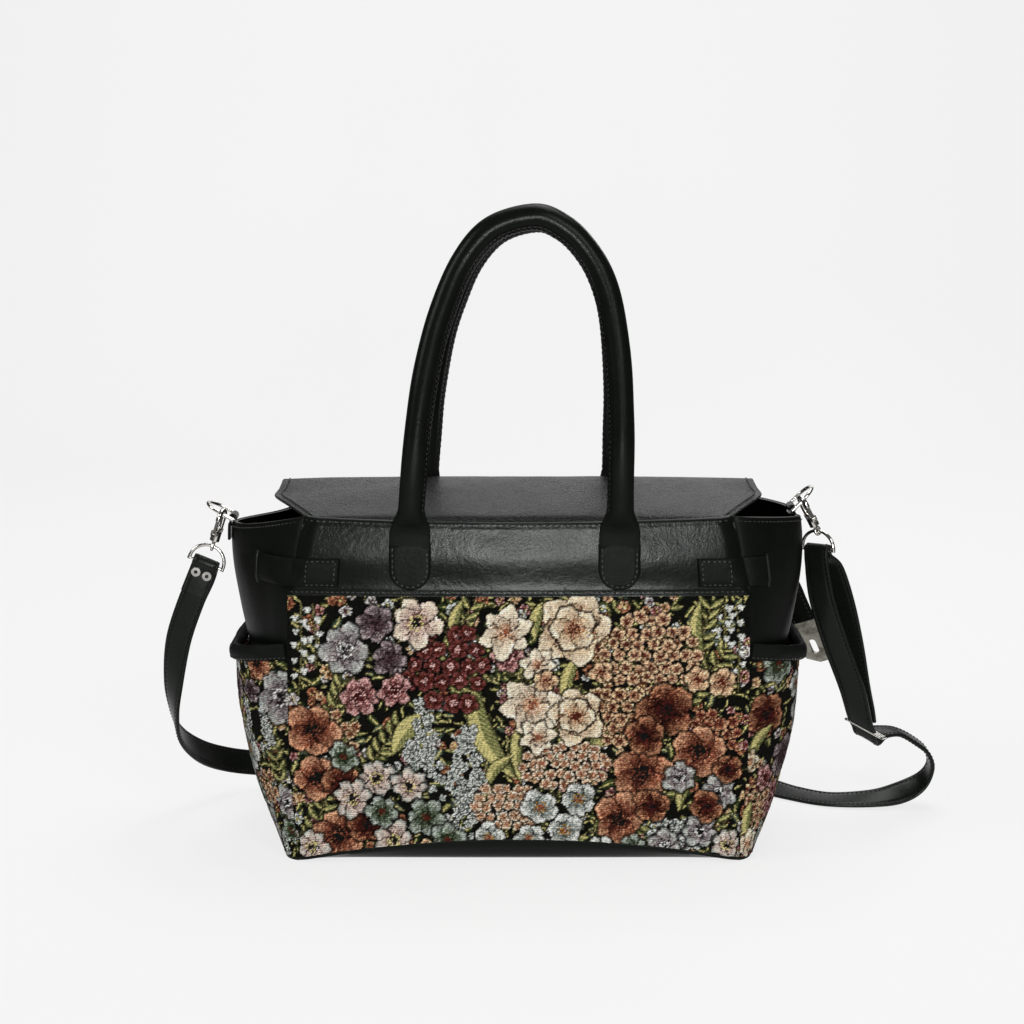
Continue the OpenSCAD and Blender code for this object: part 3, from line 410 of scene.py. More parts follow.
def uneven(p, amount, size, seed):
    """Moves a grid of points in and out along its own surface direction."""
    return p + grid_normals(p) * (ripple(p, size, seed) * amount)[..., None]


# Materials
class Wire:
    """One value in a material's node tree, with arithmetic."""

    def __init__(self, tree, socket):
        self.tree, self.socket = tree, socket

    def _math(self, operation, *values):
        node = self.tree.nodes.new("ShaderNodeMath")
        node.operation = operation
        for i, value in enumerate(values):
            put(self.tree, node.inputs[i], value)
        return Wire(self.tree, node.outputs[0])

    def __add__(self, o):
        return self._math("ADD", self, o)

    __radd__ = __add__

    def __sub__(self, o):
        return self._math("SUBTRACT", self, o)

    def __rsub__(self, o):
        return self._math("SUBTRACT", o, self)

    def __mul__(self, o):
        return self._math("MULTIPLY", self, o)

    __rmul__ = __mul__

    def sine(self):
        return self._math("SINE", self)

    def size(self):
        return self._math("ABSOLUTE", self)

    def clip(self):
        return self._math("MINIMUM", self._math("MAXIMUM", self, 0.0), 1.0)


def put(tree, socket, value):
    if isinstance(value, Wire):
        tree.links.new(value.socket, socket)
    else:
        socket.default_value = value


class Finish:
    """A material or a world under construction."""

    def __init__(self, name, store="materials", shader="Principled BSDF"):
        self.made = getattr(bpy.data, store).new(name)
        self.made.use_nodes = True
        self.tree = self.made.node_tree
        self.shader = self.tree.nodes[shader]

    def node(self, kind, settings=None, out=0, **inputs):
        """A node with its settings and inputs; inputs named i0, i1 and so on are taken by number."""
        made = self.tree.nodes.new(kind)
        for key, value in (settings or {}).items():
            setattr(made, key, value)
        for key, value in inputs.items():
            by_number = key[0] == "i" and key[1:].isdigit()
            put(self.tree, made.inputs[int(key[1:]) if by_number else key.replace("_", " ")], value)
        return Wire(self.tree, made.outputs[out])

    def place(self):
        return self.node("ShaderNodeTexCoord", out="Object")

    def axes(self, at):
        """The three parts of a place."""
        return [self.node("ShaderNodeSeparateXYZ", out=axis, i0=at) for axis in "XYZ"]

    def stretched(self, x, y, z):
        return self.node("ShaderNodeVectorMath", {"operation": "MULTIPLY"}, i0=self.place(), i1=(x, y, z))

    def noise(self, at, scale, detail=3.0, rough=0.5):
        return self.node("ShaderNodeTexNoise", Vector=at, Scale=scale, Detail=detail, Roughness=rough)

    def cells(self, at, scale):
        return self.node("ShaderNodeTexVoronoi", Vector=at, Scale=scale)

    def mix(self, factor, a, b):
        return self.node("ShaderNodeMix", {"data_type": "RGBA"}, out=2, i0=factor, i6=a, i7=b)

    def bump(self, height, strength, distance):
        return self.node("ShaderNodeBump", Height=height, Strength=strength, Distance=distance)

    def set(self, **inputs):
        for key, value in inputs.items():
            put(self.tree, self.shader.inputs[key.replace("_", " ")], value)
        return self.made


def rgb(colour, share=1.0):
    return tuple(c * share for c in colour) + (1.0,)


MADE = {}


def finish(name):
    """The named material, made on first use."""
    if name not in MADE:
        MADE[name] = leather_finish(*LEATHERS[name]) if name in LEATHERS else MAKERS[name]()
    return MADE[name]


# Leathers: label, roughness, grain, tone, shine, creases, then the height in metres below which one is dull
LEATHERS = {
    "leather": ("soft black leather", 0.23, 0.5, 1.0, 0.075, 0.35),
    "flap_leather": ("flap leather", 0.24, 1.7, 1.1, 0.12, 2.2),
    "rolled_leather": ("rolled handle leather", 0.28, 0.5, 0.95, 0.075, 0.4, (BODY_H + 65) * MM),
    "gusset_leather": ("gusset leather", 0.4, 0.5, 0.95, 0.04, 0.26),
    "tab_leather": ("tab leather", 0.4, 0.8, 1.0, 0.04, 0.5),
    "trim_leather": ("trim leather", 0.3, 0.4, 1.2, 0.15, 0.4),
}
LEATHER_TINT = (0.94, 1.0, 0.95, 1.0)
DULL_FADE, DULL_MORE = 25.0, 0.35


def leather_finish(label, rough, grain, tone, shine, creases, dull_below=None):
    f = Finish(label)
    at = f.place()
    pebble = f.cells(at, 1100.0)
    fine = f.noise(at, 2600.0, 2.0)
    soft = f.noise(at, 90.0, 4.0, 0.6)
    broad = f.noise(at, 18.0, 3.0)
    crease = f.noise(at, 420.0, 4.0, 0.6)
    height = pebble * 0.08 + fine * 0.03 + soft * 0.7 + crease * creases
    matt = (broad - 0.5) * 0.2 + (pebble - 0.4) * 0.1 + rough
    if dull_below is not None:
        matt = matt + ((f.axes(at)[2] - dull_below) * -DULL_FADE).clip() * DULL_MORE
    base = colours().leather
    return f.set(
        Base_Color=f.mix(soft, rgb(base, 0.72 * tone), rgb(base, 1.35 * tone)), Roughness=matt,
        Specular_IOR_Level=shine, Specular_Tint=LEATHER_TINT, Normal=f.bump(height, grain, 0.0006))


def edge_finish():
    f = Finish("cut leather edge")
    tone = f.noise(f.place(), 240.0, 3.0)
    return f.set(
        Base_Color=f.mix(tone, (0.004, 0.004, 0.004, 1), (0.012, 0.012, 0.011, 1)),
        Roughness=0.62 - tone * 0.1, Specular_IOR_Level=0.12, Normal=f.bump(tone, 0.35, 0.0004))


def thread_finish(label, share, shine):
    f = Finish(label)
    twist = f.cells(f.place(), 1900.0)
    c = colours().thread
    return f.set(
        Base_Color=f.mix(twist, rgb(c, 0.6 * share), rgb(c, 1.7 * share)), Roughness=0.34 + twist * 0.2,
        Specular_IOR_Level=shine, Normal=f.bump(twist, 0.5, 0.0003))


def tapestry_finish():
    f = Finish("woven tapestry")
    at = f.place()
    x, y, z = f.axes(at)
    wander = f.noise(at, 160.0, 3.0)
    turn = 2 * math.pi / sizes().rib_pitch
    rib = ((z + wander * 0.0022) * turn).sine() * 0.5 + 0.5
    warp = ((x + y) * (turn * 1.15)).sine() * 0.5 + 0.5
    yarn = f.noise(f.stretched(420.0, 420.0, 1500.0), 1.0, 3.0, 0.7)
    fleck = f.noise(f.stretched(900.0, 900.0, 1300.0), 1.0, 1.0)
    woven = f.node("ShaderNodeVertexColor", {"layer_name": "yarn"})
    # Rib term: painted shade in the grooves between weft ribs, where black flecks are also stronger; yarn:
    # own tone
    shade = rib * 0.24 + yarn * 0.9 + 0.2
    lit = f.node("ShaderNodeVectorMath", {"operation": "SCALE"}, i0=woven, Scale=shade)
    ground = f.mix((fleck - 0.58) * 5.0 * (1 - rib * 0.5), lit, (0.012, 0.012, 0.011, 1))
    height = rib * 0.8 + warp * 0.2 + yarn * 0.7
    return f.set(Base_Color=ground, Roughness=0.86 + fleck * 0.1, Specular_IOR_Level=0.05,
                 Normal=f.bump(height, 0.9, 0.0007))


def cloth_finish():
    f = Finish("plain lining cloth")
    weave = f.noise(f.stretched(1500.0, 1500.0, 500.0), 1.0, 2.0)
    c = colours().cloth
    return f.set(Base_Color=f.mix(weave, rgb(c, 0.7), rgb(c, 1.5)), Roughness=0.85,
                 Normal=f.bump(weave, 0.5, 0.0004))


def nickel_finish():
    f = Finish("polished nickel")
    haze = f.noise(f.place(), 130.0, 3.0)
    line = f.noise(f.stretched(700.0, 700.0, 3000.0), 1.0, 2.0)
    c = colours().nickel
    return f.set(Base_Color=f.mix(haze, rgb(c, 0.82), rgb(c, 1.08)), Metallic=1.0,
                 Roughness=0.13 + haze * 0.14, Normal=f.bump(line, 0.06, 0.0002))


def aged_finish():
    f = Finish("aged metal plate")
    stain = f.noise(f.place(), 95.0, 5.0, 0.65)
    brush = f.noise(f.stretched(300.0, 300.0, 2600.0), 1.0, 3.0)
    tone = f.mix((stain - 0.42) * 3.5, rgb(colours().aged, 1.25), (0.075, 0.07, 0.045, 1))
    return f.set(Base_Color=tone, Metallic=0.9, Roughness=0.34 + stain * 0.25,
                 Normal=f.bump(brush * 0.6 + stain, 0.18, 0.0004))


MAKERS = {
    "edge": edge_finish,
    "thread": lambda: thread_finish("waxed thread", 1.0, 0.5),
    "dark_thread": lambda: thread_finish("dark waxed thread", 0.4, 0.2),
    "tapestry": tapestry_finish,
    "cloth": cloth_finish,
    "nickel": nickel_finish,
    "aged": aged_finish,
}


# Woven pattern: flowers and leaves laid over a black ground, one after another
def tone(code):
    c = np.array([int(code[k:k + 2], 16) for k in (0, 2, 4)]) / 255
    return np.where(c <= 0.04045, c / 12.92, ((c + 0.055) / 1.055) ** 2.4)


YARN = {k: tone(v) for k, v in {
    "black": "14140f", "ink": "1e2220", "olive": "434a24", "moss": "5d6b3c", "lime": "9ea066",
    "straw": "d2c684", "pine": "26371f", "white": "ebebe2", "cream": "f2e2c8", "butter": "e8caa2",
    "peach": "d8a682", "apricot": "c48e6a", "rust": "b3664a", "brick": "7c3526", "wine": "5c2022",
    "rose": "a05a58", "pink": "dcaea8", "blush": "e6cabb", "lilac": "b0a2a2", "mauve": "755c60",
    "plum": "432c30", "mist": "b3bab2", "slate": "6d7873", "teal": "45574c", "sage": "76866a",
    "amber": "b8892f",
}.items()}
GREENS = (("pine", "olive"), ("olive", "moss"), ("pine", "moss"), ("olive", "lime"), ("teal", "sage"))
SMALL_BLOSSOMS = (("amber", "peach", "butter"), ("wine", "rust", "apricot"), ("plum", "lilac", "white"),
                  ("teal", "mist", "white"), ("brick", "rose", "pink"))
# Area of ground, in square millimetres, for each leaf of the undergrowth
GROUND_PER_LEAF = 62


class Weave:
    """Colours and heights of one panel, over places in millimetres."""

    def __init__(self, x, z, seed):
        self.rng = np.random.default_rng(seed)
        jit = self.rng.normal(size=(4,) + x.shape)
        self.x = x + jit[0] * 0.22 + 0.3 * np.sin(z * 4.2)
        self.z = z + jit[1] * 0.18
        self.colour = np.broadcast_to(YARN["black"], x.shape + (3,)).copy()
        self.colour *= (0.7 + 0.6 * self.rng.random(x.shape))[..., None]
        self.height = np.zeros(x.shape)
        self.jit = jit

    def near(self, cx, cz, r):
        return (np.abs(self.x - cx) < r) & (np.abs(self.z - cz) < r)

    def outline_and_shadow(self, where, mask):
        """Dark outline yarn and painted shadow round the edge of a flower or leaf."""
        pick = tuple(k[mask] for k in np.nonzero(where))
        self.colour[pick] *= 0.22
        self.height[pick] *= 0.4

    def lay(self, where, mask, colour, height):
        """Covers the masked points among where with a colour and a height."""
        pick = tuple(k[mask] for k in np.nonzero(where))
        self.colour[pick] = colour[mask]
        self.height[pick] = np.maximum(self.height[pick] * 0.35, height[mask])

    def flower(self, cx, cz, r, petals, inner, mid, edge, eye, eye_r, turn, ruffle, split, ring,
               tall=1.0, point=0.0):
        """Round petals laid one over the next, light near their rims and dark between them, then the eye."""
        where = self.near(cx, cz, r * 1.2)
        if not where.any():
            return
        dx, dz = self.x[where] - cx, self.z[where] - cz
        d, a = np.hypot(dx, dz), np.arctan2(dz, dx) + turn
        yarn = self.jit[2][where]
        colour, height, over = np.zeros((len(d), 3)), np.zeros(len(d)), np.zeros(len(d), bool)
        gap = np.full(len(d), r)
        i, m, e = YARN[inner], YARN[mid], YARN[edge]
        half_l = 0.5 * r
        half_w = min(0.66 * r * math.tan(math.pi / petals), 0.5 * r)
        line = min(0.9, half_w * 0.2)
        for p in range(petals):
            b = turn + 2 * math.pi * p / petals + self.rng.normal() * 0.1
            tip = r * self.rng.uniform(0.86, 1.08)
            u, v = dx * math.cos(b) + dz * math.sin(b), dz * math.cos(b) - dx * math.sin(b)
            along = (u - tip + half_l) / half_l
            k = np.hypot(along, v / half_w * (1 + point * np.clip(along, -0.5, 1)))
            k = k * (1 + ruffle * np.sin(np.arctan2(v, u - tip + half_l) * 7 + cx + p))
            t = np.clip(u / tip + yarn * 0.2, 0, 1)[:, None]
            petal = np.where(t < 0.5, lerp(i, m, t * 2), lerp(m, e, t * 2 - 1))
            rim = (1 - k) * half_w
            vein = 1 - 0.34 * (0.5 + 0.5 * np.sin(v * 9 / half_w + u * 0.3)) * (1.15 - t[:, 0])
            between = np.where(over, 1 - split, 0.86)
            shade = np.where(rim < line, between, np.where(rim < 2.6 * line, 1.22, 0.98))
            shade = shade * vein * lerp(0.58, 1.16, np.clip(v / half_w * 0.5 + 0.5, 0, 1))
            on = k < 1
            colour[on] = (petal * shade[:, None])[on]
            height[on] = (tall * lerp(0.7, 1.1, np.clip(rim / (half_w * 0.5), 0, 1)))[on]
            over |= on
            gap = np.minimum(gap, -rim)
        # Dark outline and painted shadow on the ground round the petals
        self.outline_and_shadow(where, ~over & (gap < min(1.5, r * 0.16)))
        core = d < r * eye_r
        stamen = (d < r * (eye_r + 0.15)) & (np.sin(a * petals * 4) * np.sin(d * 3.1) > 0.2)
        colour = np.where(stamen[:, None], YARN[ring], colour)
        pupil = YARN[eye] * (0.8 + 0.5 * np.sin(d * 4))[:, None]
        colour = np.where((core & (yarn < 0.7))[:, None], pupil, colour)
        self.lay(where, over | core, colour, np.where(core, 0.7 * tall, height))

    def leaf(self, x0, z0, x1, z1, w, dark, light, bend=0.12):
        cx, cz, ln = (x0 + x1) / 2, (z0 + z1) / 2, math.hypot(x1 - x0, z1 - z0)
        where = self.near(cx, cz, ln * 0.75 + w)
        if not where.any() or ln < 0.1:
            return
        ax, az = (x1 - x0) / ln, (z1 - z0) / ln
        dx, dz = self.x[where] - x0, self.z[where] - z0
        t = (dx * ax + dz * az) / ln
        q = -dx * az + dz * ax - bend * ln * np.sin(np.clip(t, 0, 1) * math.pi)
        half = w / 2 * np.sin(np.clip(t, 0, 1) * math.pi) ** 0.7
        k = np.abs(q) / np.maximum(half, 1e-3)
        vein = 0.5 + 0.5 * np.sin((t * ln + np.abs(q) * 1.2) * 1.6)
        shade = np.clip(np.where(q > 0, 0.78, 0.28) + (vein - 0.5) * 0.5, 0, 1)[:, None]
        colour = lerp(YARN[dark], YARN[light], shade)
        colour = np.where((np.abs(q) < 0.5)[:, None], YARN["straw"] * 0.85, colour)
        colour = colour * np.where(half - np.abs(q) < 0.7, 0.5, 1.0)[:, None]
        # Dark outline and painted shadow on the ground round the leaf
        self.outline_and_shadow(where, (np.abs(q) < half + 0.8) & (k >= 1) & (t > 0) & (t < 1))
        self.lay(where, (k < 1) & (t > 0) & (t < 1), colour, 0.8 - 0.4 * np.clip(k, 0, 1))

    def stem(self, pts, w, colour):
        line = even(np.array(pts, float), 1.0)
        for a, b in zip(line[:-1:3], line[3::3]):
            x, z = b[0] + (b[0] - a[0]) * 0.3, b[1] + (b[1] - a[1]) * 0.3
            self.leaf(a[0], a[1], x, z, w, colour, colour, 0)

    def cluster(self, cx, cz, rx, rz, r, inner, mid, edge, eye, petals=5, fill=1.0):
        spots = []
        step = r * 1.86
        for i in range(-int(rx / step) - 1, int(rx / step) + 2):
            for j in range(-int(rz / step) - 1, int(rz / step) + 2):
                x = (i + 0.5 * (j % 2)) * step + self.rng.normal() * r * 0.22
                z = j * step * 0.9 + self.rng.normal() * r * 0.22
                if (x / rx) ** 2 + (z / rz) ** 2 < 1 and self.rng.random() < fill:
                    spots.append((x, z))
        self.rng.shuffle(spots)
        for x, z in spots:
            self.flower(cx + x, cz + z, r * self.rng.uniform(0.85, 1.15), petals, inner, mid, edge, eye, 0.22,
                        self.rng.uniform(0, 6), 0.05, 0.7, eye, 0.9)

    def spike(self, x0, z0, x1, z1, w, inner, edge):
        n = max(6, int(math.hypot(x1 - x0, z1 - z0) / 3.2))
        for k in range(n):
            t = k / (n - 1)
            half = w * 1.25 * (1 - 0.7 * t)
            for _ in range(3):
                x = lerp(x0, x1, t) + self.rng.uniform(-1, 1) * half
                z = lerp(z0, z1, t) + self.rng.normal() * 1.2
                self.flower(x, z, self.rng.uniform(2.4, 3.8), 4, inner, edge, "white", "pine", 0.2,
                            self.rng.uniform(0, 3), 0.1, 0.6, "white", 0.8)

    def bells(self, x0, z0, x1, z1):
        self.stem([(x0, z0), ((x0 + x1) / 2 + 1.5, (z0 + z1) / 2), (x1, z1)], 1.3, "moss")
        n = max(4, int(math.hypot(x1 - x0, z1 - z0) / 6.5))
        for k in range(n):
            t = 0.2 + 0.8 * k / n
            side = 1 if k % 2 else -1
            x = lerp(x0, x1, t) + side * self.rng.uniform(2.6, 4.2)
            z = lerp(z0, z1, t) + self.rng.normal()
            self.flower(x, z, self.rng.uniform(2.4, 3.3), 3, "white", "white", "mist", "white", 0.1,
                        0.5, 0.1, 0.25, "white")

    def sprig(self, x0, z0, x1, z1, size, dark, light):
        self.stem([(x0, z0), (x1, z1)], 1.2, "moss")
        n = max(3, int(math.hypot(x1 - x0, z1 - z0) / (size * 0.62)))
        ang = math.atan2(z1 - z0, x1 - x0)
        for k in range(n):
            t = (k + 0.6) / n
            for side in (1, -1):
                a = ang + side * self.rng.uniform(0.6, 1.0)
                x, z = lerp(x0, x1, t), lerp(z0, z1, t)
                tip = x + math.cos(a) * size, z + math.sin(a) * size
                self.leaf(x, z, *tip, size * 0.46, dark, light, 0.08 * side)

    def undergrowth(self, lo_x, hi_x, lo_z, hi_z):
        """Leaves and small blossoms strewn over the ground, below the large flowers."""
        rng = self.rng
        count = int((hi_x - lo_x) * (hi_z - lo_z) / GROUND_PER_LEAF)
        for _ in range(count):
            x, z = rng.uniform(lo_x, hi_x), rng.uniform(lo_z, hi_z)
            a, ln = rng.uniform(0, FULL_TURN), rng.uniform(6, 15)
            dark, light = GREENS[rng.integers(len(GREENS))]
            self.leaf(x, z, x + math.cos(a) * ln, z + math.sin(a) * ln, ln * rng.uniform(0.3, 0.5),
                      dark, light, rng.uniform(-0.15, 0.15))
        for _ in range(count // 3):
            yarns = SMALL_BLOSSOMS[rng.integers(len(SMALL_BLOSSOMS))]
            self.flower(rng.uniform(lo_x, hi_x), rng.uniform(lo_z, hi_z), rng.uniform(3, 5.2), 5, *yarns,
                        "wine", 0.24, rng.uniform(0, 6), 0.05, 0.55, "straw", 0.8)

    def done(self):
        """Thread-like flecks over everything, then the colours and heights."""
        fleck = 1 + 0.13 * self.jit[2]
        self.colour *= np.clip(fleck, 0.35, 1.8)[..., None]
        light = self.colour @ [0.21, 0.72, 0.07]
        self.colour *= lerp(0.55, 1.22, ease(light / 0.5))[..., None]
        dark = self.jit[3] > 2.0
        self.colour[dark] = self.colour[dark] * 0.3 + YARN["black"] * 0.4
        return np.clip(self.colour, 0, 1), self.height


# Kinds of flower: petals, inner, middle and edge yarn, eye, share of the eye, yarn of the stamens
KINDS = {
    "anemone_lilac": (6, "plum", "lilac", "mist", "ink", 0.17, "white"),
    "anemone_white": (7, "wine", "blush", "mist", "ink", 0.2, "straw"),
    "anemone_mauve": (6, "plum", "mauve", "lilac", "plum", 0.16, "mauve"),
    "anemone_pink": (6, "rose", "blush", "cream", "ink", 0.2, "straw"),
    "pink_dark": (6, "wine", "rose", "pink", "wine", 0.24, "pink"),
    "poppy_rust": (5, "wine", "rust", "peach", "ink", 0.24, "black"),
    "poppy_brick": (5, "black", "brick", "apricot", "ink", 0.2, "wine"),
    "lily_cream": (6, "peach", "cream", "cream", "rust", 0.15, "apricot"),
    "lily_peach": (5, "rust", "butter", "cream", "brick", 0.18, "apricot"),
    "star_blue": (5, "slate", "mist", "white", "rust", 0.2, "amber"),
    "auricula": (6, "olive", "sage", "mist", "brick", 0.22, "pine"),
    "primrose": (5, "wine", "peach", "butter", "brick", 0.24, "apricot"),
}


def bloom(weave, kind, x, z, r):
    petals, inner, mid, edge, eye, eye_r, ring = KINDS[kind]
    turn = weave.rng.uniform(0, 6.28)
    weave.flower(x, z, r * 1.06, petals, inner, mid, edge, eye, eye_r, turn, 0.05, 0.76, ring,
                 point=0.55 if kind.startswith("lily") else 0.0)
    if kind == "lily_peach":
        weave.flower(x, z, r * 0.62, petals, inner, mid, edge, eye, eye_r * 1.5, turn + math.pi / petals,
                     0.05, 0.74, ring, 1.2)


# Beds of the front panel: sprigs, leaves, clusters and flowers, in millimetres from the middle of the base
FRONT_SPRIGS = [
    ("bells", -160, 128, -158, 198), ("bells", -147, 148, -150, 196), ("bells", 160, 130, 158, 198),
    ("bells", 147, 158, 150, 197), ("sprig", -142, 92, -128, 138), ("sprig", -158, 6, -140, 52),
    ("sprig", 120, 118, 150, 160), ("sprig", 142, 12, 150, 66), ("sprig", 96, 36, 128, 84),
    ("sprig", -118, 62, -86, 108), ("sprig", -24, 84, -38, 150), ("sprig", 10, 128, -10, 168),
    ("sprig", 128, 150, 140, 196), ("sprig", -54, 150, -34, 196), ("sprig", 52, 24, 92, 30),
]
FRONT_LEAVES = [
    (-2, 66, -32, 138, 17), (2, 62, 10, 122, 9), (-92, 84, -62, 116, 15), (-78, 74, -60, 104, 12),
    (36, 118, 44, 160, 10), (-24, 58, -4, 84, 9), (12, 170, 20, 200, 9), (136, 150, 132, 198, 10),
    (104, 66, 86, 92, 9), (-36, 36, -16, 58, 8), (66, 104, 46, 88, 10), (-46, 168, -40, 200, 8),
    (118, 40, 132, 72, 9), (30, 10, 52, 20, 8), (-118, 14, -106, 40, 9),
]
FRONT_CLUSTERS = [
    (-49, 150, 33, 32, 7.0, "wine", "brick", "rose", "pink"),
    (92, 158, 40, 30, 5.2, "wine", "peach", "butter", "brick"),
    (74, 112, 26, 26, 5.4, "brick", "apricot", "butter", "wine"),
    (34, 76, 33, 17, 4.2, "apricot", "peach", "cream", "rust"),
    (-8, 44, 26, 20, 4.2, "apricot", "peach", "cream", "apricot"),
    (-132, 98, 17, 16, 4.6, "rust", "apricot", "butter", "brick"),
    (118, 22, 22, 16, 5.0, "slate", "mist", "white", "plum"),
    (142, 98, 18, 20, 4.8, "brick", "rust", "peach", "wine"),
]
FRONT_SPIKES = [
    (-66, 58, -70, 124, 12), (-40, 46, -36, 104, 13), (-46, 22, -28, 70, 11), (-84, 62, -80, 92, 8),
]
FRONT_BLOOMS = [
    ("anemone_mauve", -104, 182, 14), ("anemone_mauve", -93, 156, 13), ("anemone_lilac", -126, 162, 19),
    ("anemone_pink", -74, 183, 18), ("pink_dark", -116, 127, 15), ("pink_dark", -90, 132, 12),
    ("pink_dark", -8, 158, 12), ("lily_cream", -10, 176, 19), ("lily_peach", 40, 178, 27),
    ("lily_cream", 14, 152, 12), ("lily_cream", 10, 122, 22), ("lily_peach", 42, 114, 22),
    ("lily_cream", 14, 98, 13), ("poppy_brick", 108, 118, 21), ("poppy_rust", 132, 86, 20),
    ("poppy_rust", 90, 70, 22), ("poppy_brick", 92, 98, 15), ("poppy_rust", -150, 102, 19),
    ("poppy_rust", -148, 66, 17), ("poppy_brick", -128, 62, 15), ("poppy_rust", -132, 22, 20),
    ("poppy_brick", -112, 30, 15), ("poppy_rust", 74, 34, 19), ("poppy_brick", 98, 44, 13),
    ("anemone_white", -104, 66, 14), ("anemone_white", -122, 50, 14), ("anemone_white", -80, 60, 13),
    ("anemone_white", -92, 18, 15), ("anemone_white", -152, 12, 13), ("auricula", -100, 40, 12),
    ("auricula", -68, 36, 14), ("auricula", -128, 82, 11), ("auricula", -52, 18, 13),
    ("star_blue", 16, 44, 13), ("star_blue", 44, 50, 13), ("star_blue", 34, 26, 13),
    ("star_blue", 8, 20, 11), ("star_blue", -22, 20, 11), ("anemone_lilac", 118, 66, 12),
    ("anemone_lilac", 146, 54, 13), ("anemone_lilac", 134, 24, 13), ("anemone_lilac", 108, 14, 12),
    ("poppy_brick", 138, 44, 12), ("poppy_brick", 154, 72, 11), ("primrose", 148, 138, 10),
    ("primrose", 130, 140, 9), ("primrose", 60, 146, 8), ("primrose", 20, 140, 8),
    ("anemone_white", 154, 14, 12), ("star_blue", 60, 12, 10), ("auricula", 84, 12, 10),
]
FRONT_SEED, SPRIG_SIZE, STREWN_TRIES = 11, 12, 4000


def weave_front(x, z):
    w = Weave(x, z, FRONT_SEED)
    w.undergrowth(-PANEL_W / 2, PANEL_W / 2, 0, 204)
    for kind, *p in FRONT_SPRIGS:
        if kind == "bells":
            w.bells(*p)
        else:
            w.sprig(*p, SPRIG_SIZE, "olive", "lime")
    for p in FRONT_LEAVES:
        w.leaf(*p, "moss", "straw")
    for p in FRONT_SPIKES:
        w.spike(*p, "slate", "mist")
    for p in FRONT_CLUSTERS:
        w.cluster(*p)
    for p in FRONT_BLOOMS:
        bloom(w, *p)
    return w.done()


def weave_strewn(x, z, seed):
    """A panel with the same flowers strewn evenly by chance."""
    w = Weave(x, z, seed)
    lo_x, hi_x, lo_z, hi_z = x.min(), x.max(), z.min(), z.max()
    w.undergrowth(lo_x, hi_x, lo_z, hi_z)
    rng = w.rng
    spots = []
    for _ in range(STREWN_TRIES):
        x0, z0 = rng.uniform(lo_x, hi_x), rng.uniform(lo_z, hi_z)
        r = rng.uniform(9, 21) if rng.random() < 0.7 else rng.uniform(20, 25)
        if all((x0 - q[0]) ** 2 + (z0 - q[1]) ** 2 > (0.82 * (r + q[2])) ** 2 for q in spots):
            spots.append((x0, z0, r))
    names = list(KINDS)
    for cx, cz, r in spots:
        k = rng.random()
        if k < 0.14:
            w.cluster(cx, cz, r * 1.15, r, 4.8, "wine", "peach", "butter", "brick")
        elif k < 0.24:
            w.spike(cx, cz - r, cx + rng.normal() * 4, cz + r, r * 0.5, "slate", "mist")
        elif k < 0.33:
            w.sprig(cx, cz - r, cx + rng.normal() * 6, cz + r, SPRIG_SIZE, "olive", "lime")
        else:
            if r < 21:
                w.leaf(cx, cz, cx + rng.normal() * r, cz + rng.normal() * r * 1.5, 10, "moss", "straw")
            bloom(w, names[rng.integers(len(names))], cx, cz, min(r, 22 if k > 0.8 else 17))
    return w.done()


def tapestry_panel(name, grid, colour, height, node):
    """Dense woven skin over a panel, with its edges turned in."""
    n, m = grid.shape[:2]
    face = grid + grid_normals(grid) * (height * sizes().relief / MM * 0.8)[..., None]
    ri, rj = rim_of(n, m)
    rim = grid[ri, rj] - grid_normals(grid)[ri, rj] * TAPESTRY_T
    verts = np.concatenate([face.reshape(-1, 3), rim])
    faces = grid_faces(n, m)
    a = (ri * m + rj).tolist()
    for k in range(len(a)):
        e = (k + 1) % len(a)
        faces.append([a[e], a[k], n * m + k, n * m + e])
    obj = new_object(name, verts, faces, finish("tapestry"), slot="tapestry", sharp=80)
    yarn = obj.data.color_attributes.new("yarn", "FLOAT_COLOR", "POINT")
    # The turned-in edge takes the panel's edge colours at 0.6: painted shade where it turns into the seam
    every = np.concatenate([colour.reshape(-1, 3), colour[ri, rj] * 0.6])
    every = np.concatenate([every, np.ones((len(every), 1))], axis=1)
    yarn.data.foreach_set("color", every.astype(np.float32).ravel())
    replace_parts(obj, node)


# Shoulder strap: bars of the rings at its ends, with the strap's width and upward directions there
BAR = {-1: np.array([-235.11, -11.4, 211.881]), 1: np.array([225.405, -11.4, 222.575])}
ACROSS = {-1: np.array([0.920505, 0, -0.390731]), 1: np.array([0.764178, -0.642788, 0.0534366])}
UP = {-1: np.array([0.390731, 0, 0.920505]), 1: np.array([-0.0697565, 0, 0.997564])}
RING_WIRE_R, RING_PLAY = 1.17, 0.15
TURN_R = RING_WIRE_R + SEAT + RING_PLAY + STRAP_T / 2
TAIL_L = 26.0
# Step between the strap's sections, and how many at each end have no stitches
STRAP_STEP, STRAP_PLAIN = 2.0, 4
